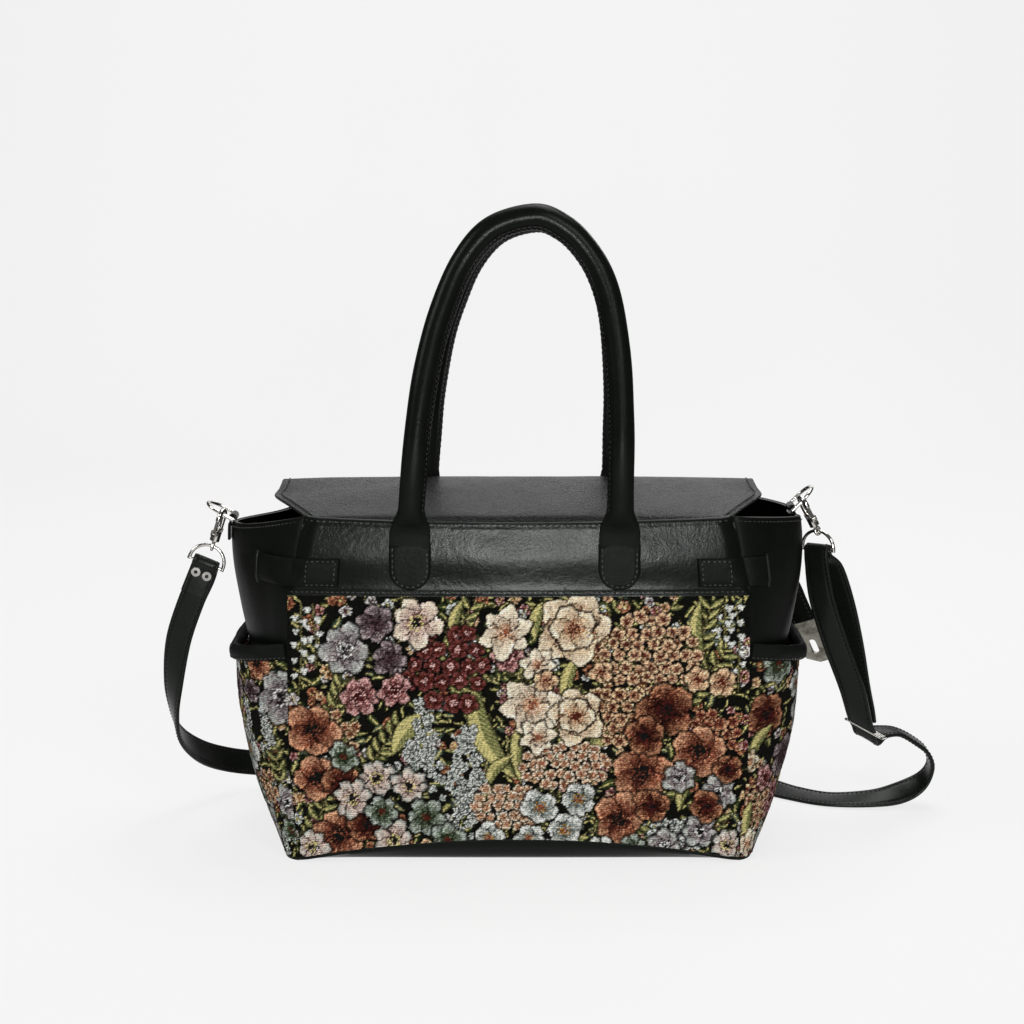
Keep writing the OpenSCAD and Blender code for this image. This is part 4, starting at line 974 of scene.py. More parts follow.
# Route in shares of its side's bar distance, half the base depth and the bar height, then width direction
STRAP_ROUTE = np.array([
    [-1.0164, -0.1026, 0.9443, 0.9, 0, -0.43], [-1.0547, -0.0897, 0.8546, 0.9, 0, -0.4],
    [-1.1015, -0.0513, 0.7083, 0.88, -0.2, -0.36], [-1.127, 0.0128, 0.5477, 0.75, -0.55, -0.32],
    [-1.1355, 0.1154, 0.425, 0.45, -0.8, -0.35], [-1.127, 0.3077, 0.3116, 0.2, -0.8, -0.5],
    [-1.076, 0.5897, 0.2125, 0.05, -0.6, -0.75], [-0.9951, 0.8974, 0.1417, 0, -0.4, -0.9],
    [-0.8718, 1.1538, 0.0944, 0, -0.3, -0.95], [-0.7017, 1.2821, 0.0661, 0, -0.3, -0.95],
    [-0.4678, 1.3333, 0.0519, 0, -0.3, -0.95], [-0.1701, 1.3462, 0.0519, 0, -0.3, -0.95],
    [0.1774, 1.3462, 0.0494, 0, -0.3, -0.95], [0.4879, 1.359, 0.0449, 0, -0.5, -0.87],
    [0.7097, 1.2821, 0.036, 0.3, -0.75, -0.6], [0.8649, 1.0769, 0.0247, 0.3, -0.93, -0.3],
    [0.9847, 0.8205, 0.018, 0.3, -0.95, -0.15], [1.1089, 0.6154, 0.0189, 0, -0.98, -0.18],
    [1.2641, 0.5641, 0.0292, 0, -0.93, -0.36], [1.3661, 0.5769, 0.0517, 0, -0.8, -0.6],
    [1.4371, 0.6026, 0.0944, 0, -0.9, -0.4], [1.4637, 0.5897, 0.1528, 0, -1, -0.1],
    [1.4415, 0.5513, 0.2112, 0, -1, 0], [1.3839, 0.4872, 0.2607, 0, -1, 0],
    [1.3262, 0.4231, 0.2944, 0.1, -1, 0], [1.2774, 0.359, 0.3034, 0.25, -0.95, -0.1],
    [1.2464, 0.2949, 0.3034, 0.5, -0.8, -0.2], [1.2198, 0.2179, 0.2944, 0.7, -0.6, -0.35],
    [1.2034, 0.159, 0.3047, 0.82, -0.42, -0.38], [1.1958, 0.1231, 0.3209, 0.82, -0.42, -0.38],
    [1.1905, 0.1013, 0.3398, 0.82, -0.42, -0.38], [1.171, 0.059, 0.3865, 0.84, -0.42, -0.3],
    [1.1355, -0.0256, 0.5034, 0.9, -0.4, 0.1], [1.069, -0.1026, 0.6742, 0.93, -0.33, 0.1],
    [1.018, -0.1474, 0.827, 0.88, -0.42, 0.05]])
STRAP_RETURN = np.array([
    [1.0512, -0.0513, 0.9304, 0.8, -0.6, 0.1], [1.0956, -0.0128, 0.809, 0.75, -0.65, 0.2],
    [1.1355, 0.0513, 0.6562, 0.72, -0.66, 0.2], [1.1665, 0.1154, 0.5034, 0.75, -0.62, 0.1],
    [1.1843, 0.1577, 0.4225, 0.8, -0.45, -0.3], [1.1949, 0.1718, 0.3587, 0.82, -0.42, -0.38]])


def strap_line():
    """Points and width directions of the whole strap, tail to tail."""
    def down(side, drop, back):
        behind = np.cross(UP[side], ACROSS[side]) * back
        return np.concatenate([BAR[side] - UP[side] * drop + behind, ACROSS[side]])

    def turn(side):
        back = np.cross(UP[side], ACROSS[side])
        places = [BAR[side] + UP[side] * TURN_R * math.sin(a) - back * TURN_R * math.cos(a)
                  for a in np.linspace(0, math.pi, 6)]
        return [np.concatenate([p, ACROSS[side]]) for p in places]

    def routed(p):
        bar = BAR[-1 if p[0] < 0 else 1]
        return np.concatenate([[p[0] * abs(bar[0]), p[1] * BASE_D / 2, p[2] * bar[2]], p[3:]])

    tail = [down(-1, TAIL_L * k, TURN_R - STRAP_T - SEAM) for k in (1, 0.6, 0.19)]
    rows = tail + [down(-1, TAIL_L * 0.05, -TURN_R * 0.8)] + turn(-1) + [routed(p) for p in STRAP_ROUTE]
    rows += [down(1, 10, -TURN_R)] + turn(1) + [down(1, 5, TURN_R)] + [routed(p) for p in STRAP_RETURN]
    rows = np.array(rows)
    line = even(through(rows, np.linspace(0, len(rows) - 1, (len(rows) - 1) * 12 + 1)), STRAP_STEP)
    return line[:, :3], unit(line[:, 3:])


# Camera, fitted to the photograph: focal length in its pixels, place in millimetres, tilt in degrees
PHOTO_PX, FOCAL_PX, SENSOR_MM = 1024, 1928, 36.0
CAMERA_AT, CAMERA_TILT, CAMERA_FAR = (-4.7, -1428, 529), 11.1, 50
# Paper sweep in metres: half width, front edge, start of its curve, radius and top
SWEEP_HALF, SWEEP_FRONT, SWEEP_TURN, SWEEP_R, SWEEP_TOP = 5.0, -4.0, 1.6, 1.2, 5.0
# Lights: name, place, aim, size, power
LIGHTS = (
    ("behind", (0.85, 1.7, 1.2), (0.1, 0, 0.26), (1.0, 0.5), 4.5),
    ("overhead", (0.3, 0.3, 1.8), (0.0, 0, 0.25), (1.2, 0.9), 18.0),
    ("front_low", (0.05, -2.2, 0.24), (0.0, 0, 0.2), (0.32, 0.28), 35.0),
    ("front_high", (0.9, -1.9, 1.4), (0.05, 0, 0.15), (0.9, 0.6), 18.0),
    ("left_high", (-1.9, -0.7, 1.5), (0, 0, 0.3), (0.8, 0.8), 20.0),
    ("backdrop", (0.0, 1.1, 2.5), (0.0, 2.8, 1.1), (2.6, 0.6), 40.0))


def paper_finish():
    """Pale paper for camera rays; mirrored rays see it round and behind the bag, and a dark room past it."""
    f = Finish("studio paper")
    x, y, _ = f.axes(f.place())
    lit = ((0.95 - x.size()) * 4.0).clip() * ((y + 1.0) * 2.0).clip()
    camera, glossy, through_glass = (f.node("ShaderNodeLightPath", out=f"Is {ray} Ray")
                                     for ray in ("Camera", "Glossy", "Transmission"))
    seen = (camera + (glossy + through_glass) * lit).clip()
    floor = colours().floor
    return f.set(
        Base_Color=f.mix(seen, rgb(floor, 0.2), rgb(floor, 0.16)), Roughness=0.95, Specular_IOR_Level=0.0,
        Emission_Color=f.mix(seen, (0.02, 0.02, 0.02, 1), rgb(floor, 0.87)), Emission_Strength=1.0)


def room():
    """World that is pale for camera rays and dim for all others."""
    f = Finish("studio", "worlds", "Background")
    seen = f.node("ShaderNodeLightPath", out="Is Camera Ray")
    return f.set(Color=f.mix(seen, (0.06, 0.06, 0.06, 1), rgb(colours().floor)))


class TOTE_OT_stage(bpy.types.Operator):
    """Makes the floor, the backdrop, the lights and the camera"""
    bl_idname = "tote.stage"
    bl_label = "Stage"

    def execute(self, context):
        scene = context.scene
        scene.view_settings.view_transform = "Standard"
        data = bpy.data.cameras.new("camera")
        data.sensor_fit, data.sensor_width = "HORIZONTAL", SENSOR_MM
        data.lens, data.clip_end = FOCAL_PX / PHOTO_PX * SENSOR_MM, CAMERA_FAR
        camera = bpy.data.objects.new("camera", data)
        camera.location = [k * MM for k in CAMERA_AT]
        camera.rotation_euler = (math.radians(90 - CAMERA_TILT), 0, 0)
        scene.collection.objects.link(camera)
        scene.camera = camera
        # Floor that curves up into the backdrop
        prof = [(SWEEP_FRONT, 0.0), (SWEEP_TURN, 0.0)]
        prof += [(SWEEP_TURN + SWEEP_R * math.sin(a), SWEEP_R - SWEEP_R * math.cos(a))
                 for a in np.linspace(0.08, math.pi / 2, 18)]
        prof.append((SWEEP_TURN + SWEEP_R, SWEEP_TOP))
        verts = [(x, y, z) for x in (-SWEEP_HALF, SWEEP_HALF) for y, z in prof]
        mesh = bpy.data.meshes.new("sweep")
        mesh.from_pydata(verts, [], grid_faces(2, len(prof)))
        mesh.polygons.foreach_set("use_smooth", np.ones(len(mesh.polygons), bool))
        floor = bpy.data.objects.new("studio_floor", mesh)
        scene.collection.objects.link(floor)
        mesh.materials.append(paper_finish())
        scene.world = room()
        for name, place, look, size, power in LIGHTS:
            lamp = bpy.data.lights.new(name, "AREA")
            lamp.shape, lamp.size, lamp.size_y, lamp.energy = "RECTANGLE", size[0], size[1], power
            obj = bpy.data.objects.new(name, lamp)
            obj.location = place
            obj.rotation_euler = (Vector(look) - Vector(place)).to_track_quat("-Z", "Y").to_euler()
            scene.collection.objects.link(obj)
        return {"FINISHED"}


class TOTE_OT_shoulder_strap(bpy.types.Operator):
    """Makes the shoulder strap with its sewn edges"""
    bl_idname = "tote.shoulder_strap"
    bl_label = "Shoulder strap"

    def execute(self, context):
        path, across = strap_line()
        section = flat_section(STRAP_W, STRAP_T, 0.8, 0.35)
        strap = swept("shoulder_strap_leather", path, across, section, finish("trim_leather"), sharp=60)
        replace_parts(strap, "shoulder_strap")
        wide, deep = frames_along(path, across)
        rows, sewn = [], slice(STRAP_PLAIN, -STRAP_PLAIN)
        for edge, row in ((-1, "a"), (1, "b")):
            for face, label in ((-1, "front"), (1, "back")):
                line = path + wide * edge * (STRAP_W / 2 - STITCH_IN) + deep * face * (STRAP_T / 2 - 0.2)
                rows.append(sew(f"strap_stitches_{row}_{label}", line[sewn], (deep * face)[sewn],
                                finish("dark_thread")))
        names = ["strap_slider", "strap_rivets"]
        for piece in ("strap_ring", "swivel", "hook", "gate", "gate_pin"):
            names += [f"left_{piece}", f"right_{piece}"]
        (path * MM).tolist()
        rows + [NODES[n] for n in names]
        return {"FINISHED"}


# Counts of points across and up each panel, and the column along which a pocket's pattern is measured
FRONT_GRID, BACK_GRID, POCKET_GRID, POCKET_COLUMN = (381, 221), (321, 187), (201, 161), 110
BASE_GRID, YOKE_GRID, GUSSET_GRID, FLAP_GRID, TAB_GRID = (91, 57), (181, 41), (91, 85), (111, 121), (41, 61)


class TOTE_OT_tapestry(bpy.types.Operator):
    """Weaves the front and back panels and the two side pockets"""
    bl_idname = "tote.tapestry"
    bl_label = "Tapestry"

    def execute(self, context):
        s, w = grid_of((-1, 1), (0, 1), FRONT_GRID)
        front = uneven(front_wall(s, w * seam_level(s), 0), amount=0.6 * (1 - s ** 8), size=60, seed=3)
        woven = weave_front(s * PANEL_W / 2, front[..., 2])
        tapestry_panel("front_tapestry_weave", front, *woven, "front_tapestry")
        s, w = grid_of((-1, 1), (0, 1), BACK_GRID)
        back = uneven(back_wall(-s, w * seam_level(s), 0), amount=0.6 * (1 - s ** 8), size=60, seed=4)
        woven = weave_strewn(s * PANEL_W / 2, back[..., 2], 23)
        tapestry_panel("back_tapestry_weave", back, *woven, "back_tapestry")
        for side, name, seed in ((-1, "left", 31), (1, "right", 47)):
            t, w = grid_of((-side, side), (0, 1), POCKET_GRID)
            grid = pocket_point(side, t, w, TAPESTRY_T * (1 - t ** 10))
            grid = uneven(grid, amount=0.9 * (1 - t ** 8), size=70, seed=seed)
            steps = np.linalg.norm(np.diff(grid[:, POCKET_COLUMN], axis=0), axis=1)
            run = np.concatenate([[0], np.cumsum(steps)])
            woven = weave_strewn(np.broadcast_to(run[:, None], t.shape), grid[..., 2], seed)
            tapestry_panel(f"{name}_pocket_weave", grid, *woven, f"{name}_pocket")
        return {"FINISHED"}


def yoke_dip(w):
    """How far the soft yoke lies back from its fullest line, over its height from 0 to 1."""
    return 1.1 * ease((w - 0.5) / 0.5) + 0.8 * ease((0.5 - w) / 0.35) - 0.4 * ease((0.15 - w) / 0.15)


def base_panel():
    s, t = grid_of((-1, 1), (-1, 1), BASE_GRID)
    lip = np.maximum(0, (np.abs(t) - 0.86) / 0.14) ** 1.4

    def base(up):
        x = s * (corner_x(0.0) + (POCKET_FOOT + SEAT + TAPESTRY_T) * pocket_crown(t))
        return soften(stack(x, t * (corner_y(0.0) + bulge(0.0, s)), up + ARCH_H * (1 - s * s) * lip))[:, ::-1]
    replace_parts(closed_sheet("base_leather", base(BASE_T), base(0.0), finish("leather"), 0.3), "base_panel")


def yoke(wall, face, name):
    """A yoke with its two pressed and sewn seam lines."""
    s, w = grid_of((-1, 1), (0, 1), YOKE_GRID)
    v = lerp(seam_level(s), 1, w)
    near, far = wall(face * s, v, yoke_dip(w) - YOKE_LAP), wall(face * s, v, LEATHER_T)
    press = bump_at(w * YOKE_H, STITCH_IN, 0.9) + bump_at(w * YOKE_H, YOKE_H - RIM_STITCH_IN, 0.8)
    near = uneven(near, amount=0.55, size=75, seed=8) - grid_normals(near) * (press * 0.45)[..., None]
    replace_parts(closed_sheet(f"{name}_yoke_leather", near, far, finish("leather"), 0.5), f"{name}_yoke")
    line = np.linspace(-0.99, 0.99, 300)
    for high, row, stout in ((STITCH_IN, "lower", 1.0), (YOKE_H - RIM_STITCH_IN, "upper", 1.2)):
        level = lerp(seam_level(line), 1, high / YOKE_H)
        path = wall(face * line, level, yoke_dip(high / YOKE_H) - YOKE_LAP + 0.35)
        sew(f"{name}_yoke_{row}_stitches", path, np.array([0.0, -face, 0.0]), finish("thread"), stout=stout)


def folded_end(side, name, seed):
    """A gusset with its folds and the stitches along its rim."""
    t, v = grid_of((-side, side), (0, 1), GUSSET_GRID)
    near, far = gusset(side, t, v, 0.0), gusset(side, t, v, LEATHER_T)
    hold = (1 - t ** 8) * (1 - v ** 12)
    crease = 0.9 * bump_at(np.abs(t), 0.72, 0.1) * ease((v - 0.55) / 0.3)
    push = grid_normals(near) * (hold * (crease - 0.4 * ripple(near, 45, seed)))[..., None] * 0.8
    sheet = closed_sheet(f"{name}_gusset_leather", near - push, far - push, finish("gusset_leather"), 0.4)
    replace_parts(sheet, f"{name}_gusset")
    line = np.linspace(-0.98 * side, 0.98 * side, 160)
    path = gusset(side, line, np.full_like(line, 1 - 3.0 / BODY_H), 0.0)
    sew(f"{name}_rim_stitches", path, np.array([side, 0.0, 0.0]), finish("thread"))


def inside_ring(inset, low, high):
    """Grid round the inside of all four walls, between two heights that depend on each wall's top."""
    q, levels, rows = np.linspace(-1, 1, 61)[:-1], np.linspace(0, 1, 15), []
    for wall, places, top, bottom in (
            (front_wall, q, wall_top(q), wall_low(q)),
            (lambda a, b, c: gusset(1, a, b, c), q, end_top(1, q), np.full_like(q, LOW_Z)),
            (back_wall, -q, wall_top(q) - BACK_DROP, wall_low(q)),
            (lambda a, b, c: gusset(-1, a, b, c), -q, end_top(-1, -q), np.full_like(q, LOW_Z))):
        z = lerp(low(top)[:, None], high(top)[:, None], levels[None])
        rows.append(wall(places[:, None], (z - bottom[:, None]) / (top - bottom)[:, None], inset))
    return np.concatenate(rows)


def facing_and_lining():
    def facing(inset):
        return inside_ring(inset, lambda top: top - FACING_H, lambda top: top)

    def cloth(inset):
        floor_z = BASE_T + ARCH_H + SEAT
        return inside_ring(inset, lambda top: np.full_like(top, floor_z), lambda top: top - FACING_H - SEAT)
    face_in, line_in = LEATHER_T + SEAM, LEATHER_T + 1.2
    near, far = facing(face_in), facing(face_in + LEATHER_T)
    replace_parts(closed_band("rim_facing_leather", near, far, finish("leather")), "rim_facing")
    near, far = cloth(line_in), cloth(line_in + LINING_T)
    lining = closed_band("lining_cloth", near, far, finish("cloth"), slot="lining_cloth")
    edge = far[:, 0]
    n = len(edge)
    verts = np.concatenate([edge, edge + [0, 0, LINING_T]])
    faces = [list(range(n))[::-1], list(range(n, 2 * n))]
    faces += [[i, (i + 1) % n, n + (i + 1) % n, n + i] for i in range(n)]
    floor = new_object("lining_floor_cloth", verts, faces, finish("cloth"), slot="lining_cloth")
    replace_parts(floor, "lining_floor")
    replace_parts(lining, "lining")


class TOTE_OT_body_leather(bpy.types.Operator):
    """Makes the base, yokes, gussets, rim facing and lining"""
    bl_idname = "tote.body_leather"
    bl_label = "Body leather"

    def execute(self, context):
        base_panel()
        yoke(front_wall, 1, "front")
        yoke(back_wall, -1, "back")
        folded_end(-1, "left", 5)
        folded_end(1, "right", 6)
        facing_and_lining()
        return {"FINISHED"}


# Flap: rows of depth, height over the rim, half width, and how far it hugs the back wall
FLAP_OUT = YOKE_LAP + SEAT + FLAP_T / 2
FLAP_INNER = MOUTH_D / 2 - (LEATHER_T + SEAM + LEATHER_T) - SEAT - FLAP_T / 2
FLAP_OUTER = MOUTH_D / 2 + FLAP_OUT
FLAP_SEWN = YOKE_H - YOKE_LAP
FLAP_ROWS = np.array([
    [FLAP_OUTER, -FLAP_SEWN, MOUTH_W / 2, 1], [FLAP_OUTER, -FLAP_SEWN * 0.6, MOUTH_W / 2, 1],
    [FLAP_OUTER, -FLAP_SEWN * 0.25, lerp(MOUTH_W, FLAP_W, 0.45) / 2, 1],
    [FLAP_OUTER, FLAP_CROWN * 0.25, FLAP_W / 2, 0.7],
    [FLAP_OUTER - FLAP_CROWN * 0.3, FLAP_CROWN * 0.85, FLAP_W / 2, 0],
    [FLAP_OUTER - FLAP_CROWN * 1.3, FLAP_CROWN, FLAP_W / 2, 0],
    [MOUTH_D * 0.3, FLAP_CROWN * 0.97, FLAP_W / 2, 0], [MOUTH_D * 0.12, FLAP_CROWN * 0.85, FLAP_W / 2, 0],
    [-MOUTH_D * 0.14, FLAP_CROWN * 0.6, lerp(FLAP_W, FLAP_FRONT_W, 0.44) / 2, 0],
    [-MOUTH_D * 0.36, FLAP_CROWN * 0.3, lerp(FLAP_W, FLAP_FRONT_W, 0.84) / 2, 0],
    [-lerp(MOUTH_D * 0.36, FLAP_INNER, 0.62), 0, lerp(FLAP_W, FLAP_FRONT_W, 0.94) / 2, 0],
    [-FLAP_INNER, -FLAP_CROWN * 0.8, FLAP_FRONT_W / 2, 0], [-FLAP_INNER, -FLAP_TUCK, FLAP_FRONT_W / 2, 0]])
# Row in the middle of the loose part, the number of rows it reaches, and the stitches' distance from the edge
FLAP_MID, FLAP_REACH, FLAP_STITCH_IN = 6.5, 3.5, 5.0


def flap_surface(s, u, off):
    """Point of the flap, s across from -1 to 1 and u along its rows."""
    row = through(FLAP_ROWS, u)
    ahead = through(FLAP_ROWS, np.minimum(u + 0.05, len(FLAP_ROWS) - 1))
    behind = through(FLAP_ROWS, np.maximum(u - 0.05, 0))
    flat = unit((ahead - behind)[..., :2])
    x = s * row[..., 2]
    hug = wall_y(x, BODY_H + np.minimum(0, row[..., 1]))
    y = lerp(row[..., 0], FLAP_OUT - hug, np.clip(row[..., 3], 0, 1))
    return stack(x, y - flat[..., 1] * off, BODY_H + row[..., 1] + flat[..., 0] * off)


def flap_loose(u):
    return np.clip(1 - np.abs(u - FLAP_MID) / FLAP_REACH, 0, 1)


def flap_sag(p, s, u):
    """Height of the flap's soft waves, and the droop of its ends."""
    return flap_loose(u) * (0.9 * ripple(p, 70, 14) - 4.0 * np.abs(s) ** 4)


class TOTE_OT_flap(bpy.types.Operator):
    """Makes the flap that is tucked in behind the front rim"""
    bl_idname = "tote.flap"
    bl_label = "Flap"

    def execute(self, context):
        s, u = grid_of((-1, 1), (len(FLAP_ROWS) - 1, 0), FLAP_GRID)
        near, far = flap_surface(s, u, -FLAP_T / 2), flap_surface(s, u, FLAP_T / 2)
        shift = np.zeros_like(near)
        shift[..., 2] = flap_sag(near, s, u) + flap_loose(u) * 0.22 * ripple(near, 22, 15, 12)
        sheet = closed_sheet("flap_leather", near + shift, far + shift, finish("flap_leather"), 0.6)
        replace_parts(sheet, "flap")
        for end, name in ((-1, "left"), (1, "right")):
            u = np.linspace(3.0, 10.2, 200)
            s = end * (1 - FLAP_STITCH_IN / through(FLAP_ROWS, u)[:, 2])
            path = flap_surface(s, u, -FLAP_T / 2 - 0.05)
            path[:, 2] += flap_sag(path, s, u)
            up = unit(flap_surface(s, u, -FLAP_T / 2) - flap_surface(s, u, FLAP_T / 2))
            sew(f"flap_{name}_stitches", path, up, finish("thread"))
        return {"FINISHED"}


# Handles: shares of half the span and of the rise
HANDLE_SHARES = np.array([
    [-1.04, -0.055], [-1.03, 0.02], [-1, 0.16], [-0.95, 0.34], [-0.86, 0.53], [-0.73, 0.69],
    [-0.53, 0.85], [-0.25, 0.96], [0.15, 1], [0.42, 0.965], [0.62, 0.9], [0.78, 0.81],
    [0.885, 0.69], [0.95, 0.52], [0.975, 0.34], [0.974, 0.16], [0.97, 0.02], [0.966, -0.055]])
TAB_TOP = BODY_H - TAB_DROP
# Step between sections, their number of sides, and how many at each end have no stitches
HANDLE_STEP, HANDLE_SIDES, HANDLE_PLAIN = 2.2, 36, 12
# Pitch of the gathers, and the angle of the two stitch rows
GATHER_PITCH, HANDLE_ROW_AT = 5.2, 0.3
# Share of a tab's row of stitches that goes round its lower end
TAB_ROW_ARC = 0.45


def proud(face):
    return YOKE_LAP + SEAT + (0 if face > 0 else FLAP_T + SEAT)


def rolled_handle(face, name, rise, shift):
    """A handle that flattens out at its ends, with its inner seam."""
    p = through(HANDLE_SHARES, np.linspace(0, len(HANDLE_SHARES) - 1, 900))
    roll = ease((p[:, 1] + 0.032) / 0.095)
    wide = lerp(TAB_W / 2 - SEAT, HANDLE_D / 2, roll)
    deep = lerp(TAB_T / 2 + SEAT, HANDLE_D / 2, roll)
    fall = p[:, 1] / -HANDLE_SHARES[0, 1] * (TAB_DROP + 2 * SEAT)
    x, z = p[:, 0] * HANDLE_SPAN / 2 + shift, BODY_H + np.where(p[:, 1] < 0, fall, p[:, 1] * rise)
    near = wall_y(x, np.minimum(z, BODY_H)) - proud(face) - deep
    rows = np.stack([x, face * (near + HANDLE_LEAN * ease(p[:, 1])), z, wide, deep, roll], axis=1)
    moved = np.linalg.norm(np.diff(rows[:, :3], axis=0), axis=1) > 1e-4
    rows = even(rows[np.concatenate([[True], moved])], HANDLE_STEP)
    path, wide, deep, roll = rows[:, :3], rows[:, 3:4], rows[:, 4:5], rows[:, 5:]
    across = unit(np.cross([0.0, 1.0, 0.0], headings(path)))
    a = np.linspace(0, 2 * math.pi, HANDLE_SIDES + 1)[:-1]
    from_seam = np.minimum(a, 2 * math.pi - a)[None]
    run = (np.arange(len(path)) * HANDLE_STEP)[:, None]
    gather = 0.5 + 0.5 * np.sin(run * 2 * math.pi / GATHER_PITCH)
    seam, pinch = bump_at(from_seam, 0, 0.2), bump_at(from_seam, 0.38, 0.16)
    body = 1 + roll * (seam * (0.09 + 0.05 * gather) - pinch * (0.07 + 0.04 * gather))
    body += 0.012 * np.sin(run * 0.11 + 1.3) * roll
    section = np.stack([np.cos(a)[None] * wide * body, np.sin(a)[None] * deep * body], axis=-1)
    handle = swept(f"{name}_handle_leather", path, across, section, finish("rolled_leather"), sharp=70)
    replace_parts(handle, f"{name}_handle")
    w, d = frames_along(path, across)
    for row, off in (("a", HANDLE_ROW_AT), ("b", -HANDLE_ROW_AT)):
        line = path + w * (wide * 0.97 * math.cos(off)) + d * (deep * 0.97 * math.sin(off))
        out = w * math.cos(off) + d * math.sin(off)
        sewn = slice(HANDLE_PLAIN, -HANDLE_PLAIN)
        sew(f"{name}_handle_stitches_{row}", line[sewn], out[sewn], finish("dark_thread"), skip=0.5)


def handle_tab(face, name, cx):
    """A sewn tab with a round lower end."""
    s, h = grid_of((-1, 1), (0, 1), TAB_GRID)
    h = h ** 1.9
    drop = np.maximum(0, 1 - h * TAB_H / (TAB_W / 2))
    half = TAB_W / 2 * np.sqrt(np.maximum(0.004, 1 - drop ** 2))
    z = TAB_TOP - TAB_H * (1 - h)
    v = (z - LOW_Z) / (BODY_H - LOW_Z)
    on_wall = front_wall((cx + face * s * half) / corner_x(v), v, 0)

    def tab(inset):
        return stack(on_wall[..., 0], face * (on_wall[..., 1] - inset), z)
    rim = np.minimum((1 - np.abs(s)) * half, h * TAB_H)
    crown = 0.9 * ease(rim / 1.8) - 0.25 * bump_at(rim, STITCH_IN, 0.8)
    flare = TAB_T / 2 * (1 + np.sqrt(1 - (0.98 * s) ** 2)) - 0.1
    thick = lerp(TAB_T - 0.9 + crown, flare, ease((h - 0.92) / 0.08))
    near, far = tab(proud(face) + thick), tab(np.full_like(s, proud(face)))
    sheet = closed_sheet(f"{name}_tab_leather", near, far, finish("tab_leather"), 0.15)
    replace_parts(sheet, f"{name}_handle_tab")
    k = np.linspace(-1, 1, 161)
    turn = np.clip((np.abs(k) - TAB_ROW_ARC) / (1 - TAB_ROW_ARC), 0, 1)
    arc = np.clip(np.abs(k) / TAB_ROW_ARC, 0, 1) * math.pi / 2
    r = TAB_W / 2 - STITCH_IN
    x = cx + np.sign(k) * r * np.sin(arc)
    z = TAB_TOP - TAB_H + TAB_W / 2 - r * np.cos(arc) + turn * (TAB_H - TAB_W / 2 - 2)
    y = face * (wall_y(x, z) - proud(face) - TAB_T + 0.2)
    sew(f"{name}_tab_stitches", stack(x, y, z), np.array([0.0, -face, 0.0]), finish("thread"), stout=1.1)


class TOTE_OT_handles(bpy.types.Operator):
    """Makes the rolled handles with their inner seams and their sewn tabs"""
    bl_idname = "tote.handles"
    bl_label = "Handles"

    def execute(self, context):
        for face, name, rise, shift in ((1, "front", HANDLE_RISE, 0.0),
                                        (-1, "back", HANDLE_RISE - HANDLE_BACK_DROP, HANDLE_BACK_SHIFT)):
            rolled_handle(face, name, rise, shift)
            for end, label in ((0, "left"), (-1, "right")):
                handle_tab(face, f"{name}_{label}", HANDLE_SHARES[end, 0] * HANDLE_SPAN / 2 + shift)
        return {"FINISHED"}


def pocket_binding(side, name):
    """The padded rim of a pocket."""
    t = np.linspace(-1, 1, 240)
    thin = lerp(0.35, 1, ease((1 - np.abs(t)) / 0.15))
    x = side * (PANEL_W / 2 + SEAT + BINDING_T / 2 * thin + POCKET_REACH * pocket_crown(t))
    path = stack(x, pocket_y(t, pocket_rim(t)), pocket_rim(t))
    path = even(np.concatenate([path, thin[:, None]], axis=1), 1.6)
    path, thin = path[:, :3], path[:, 3:]
    a, row = np.linspace(0, 2 * math.pi, 25)[:-1], np.arange(len(path))[:, None]
    plump = 1 + 0.03 * np.sin(row * 0.55) + 0.02 * np.sin(row * 0.21 + side)
    plump = plump * (1 - 0.1 * bump_at(np.abs(np.abs(a - math.pi) - 2.35), 0, 0.16))
    sec = np.stack([np.cos(a) * BINDING_H / 2 * plump, np.sin(a) * BINDING_T / 2 * plump * thin], axis=-1)
    up = np.broadcast_to([0.0, 0.0, 1.0], path.shape)
    binding = swept(f"{name}_pocket_binding_leather", path, up, sec, finish("rolled_leather"), sharp=75)
    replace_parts(binding, f"{name}_pocket_binding")
    w, d = frames_along(path, up)
    out = d * np.sign((d[:, :1] * side).mean())
    line = path - w * BINDING_H * 0.35 + out * BINDING_T * 0.36 * thin
    sew(f"{name}_binding_stitches", line, out, finish("thread"))


# Where each keeper ends on its gusset, from -1 at the front edge to 1 at the back edge
KEEPER_END = {-1: -0.68, 1: -0.88}


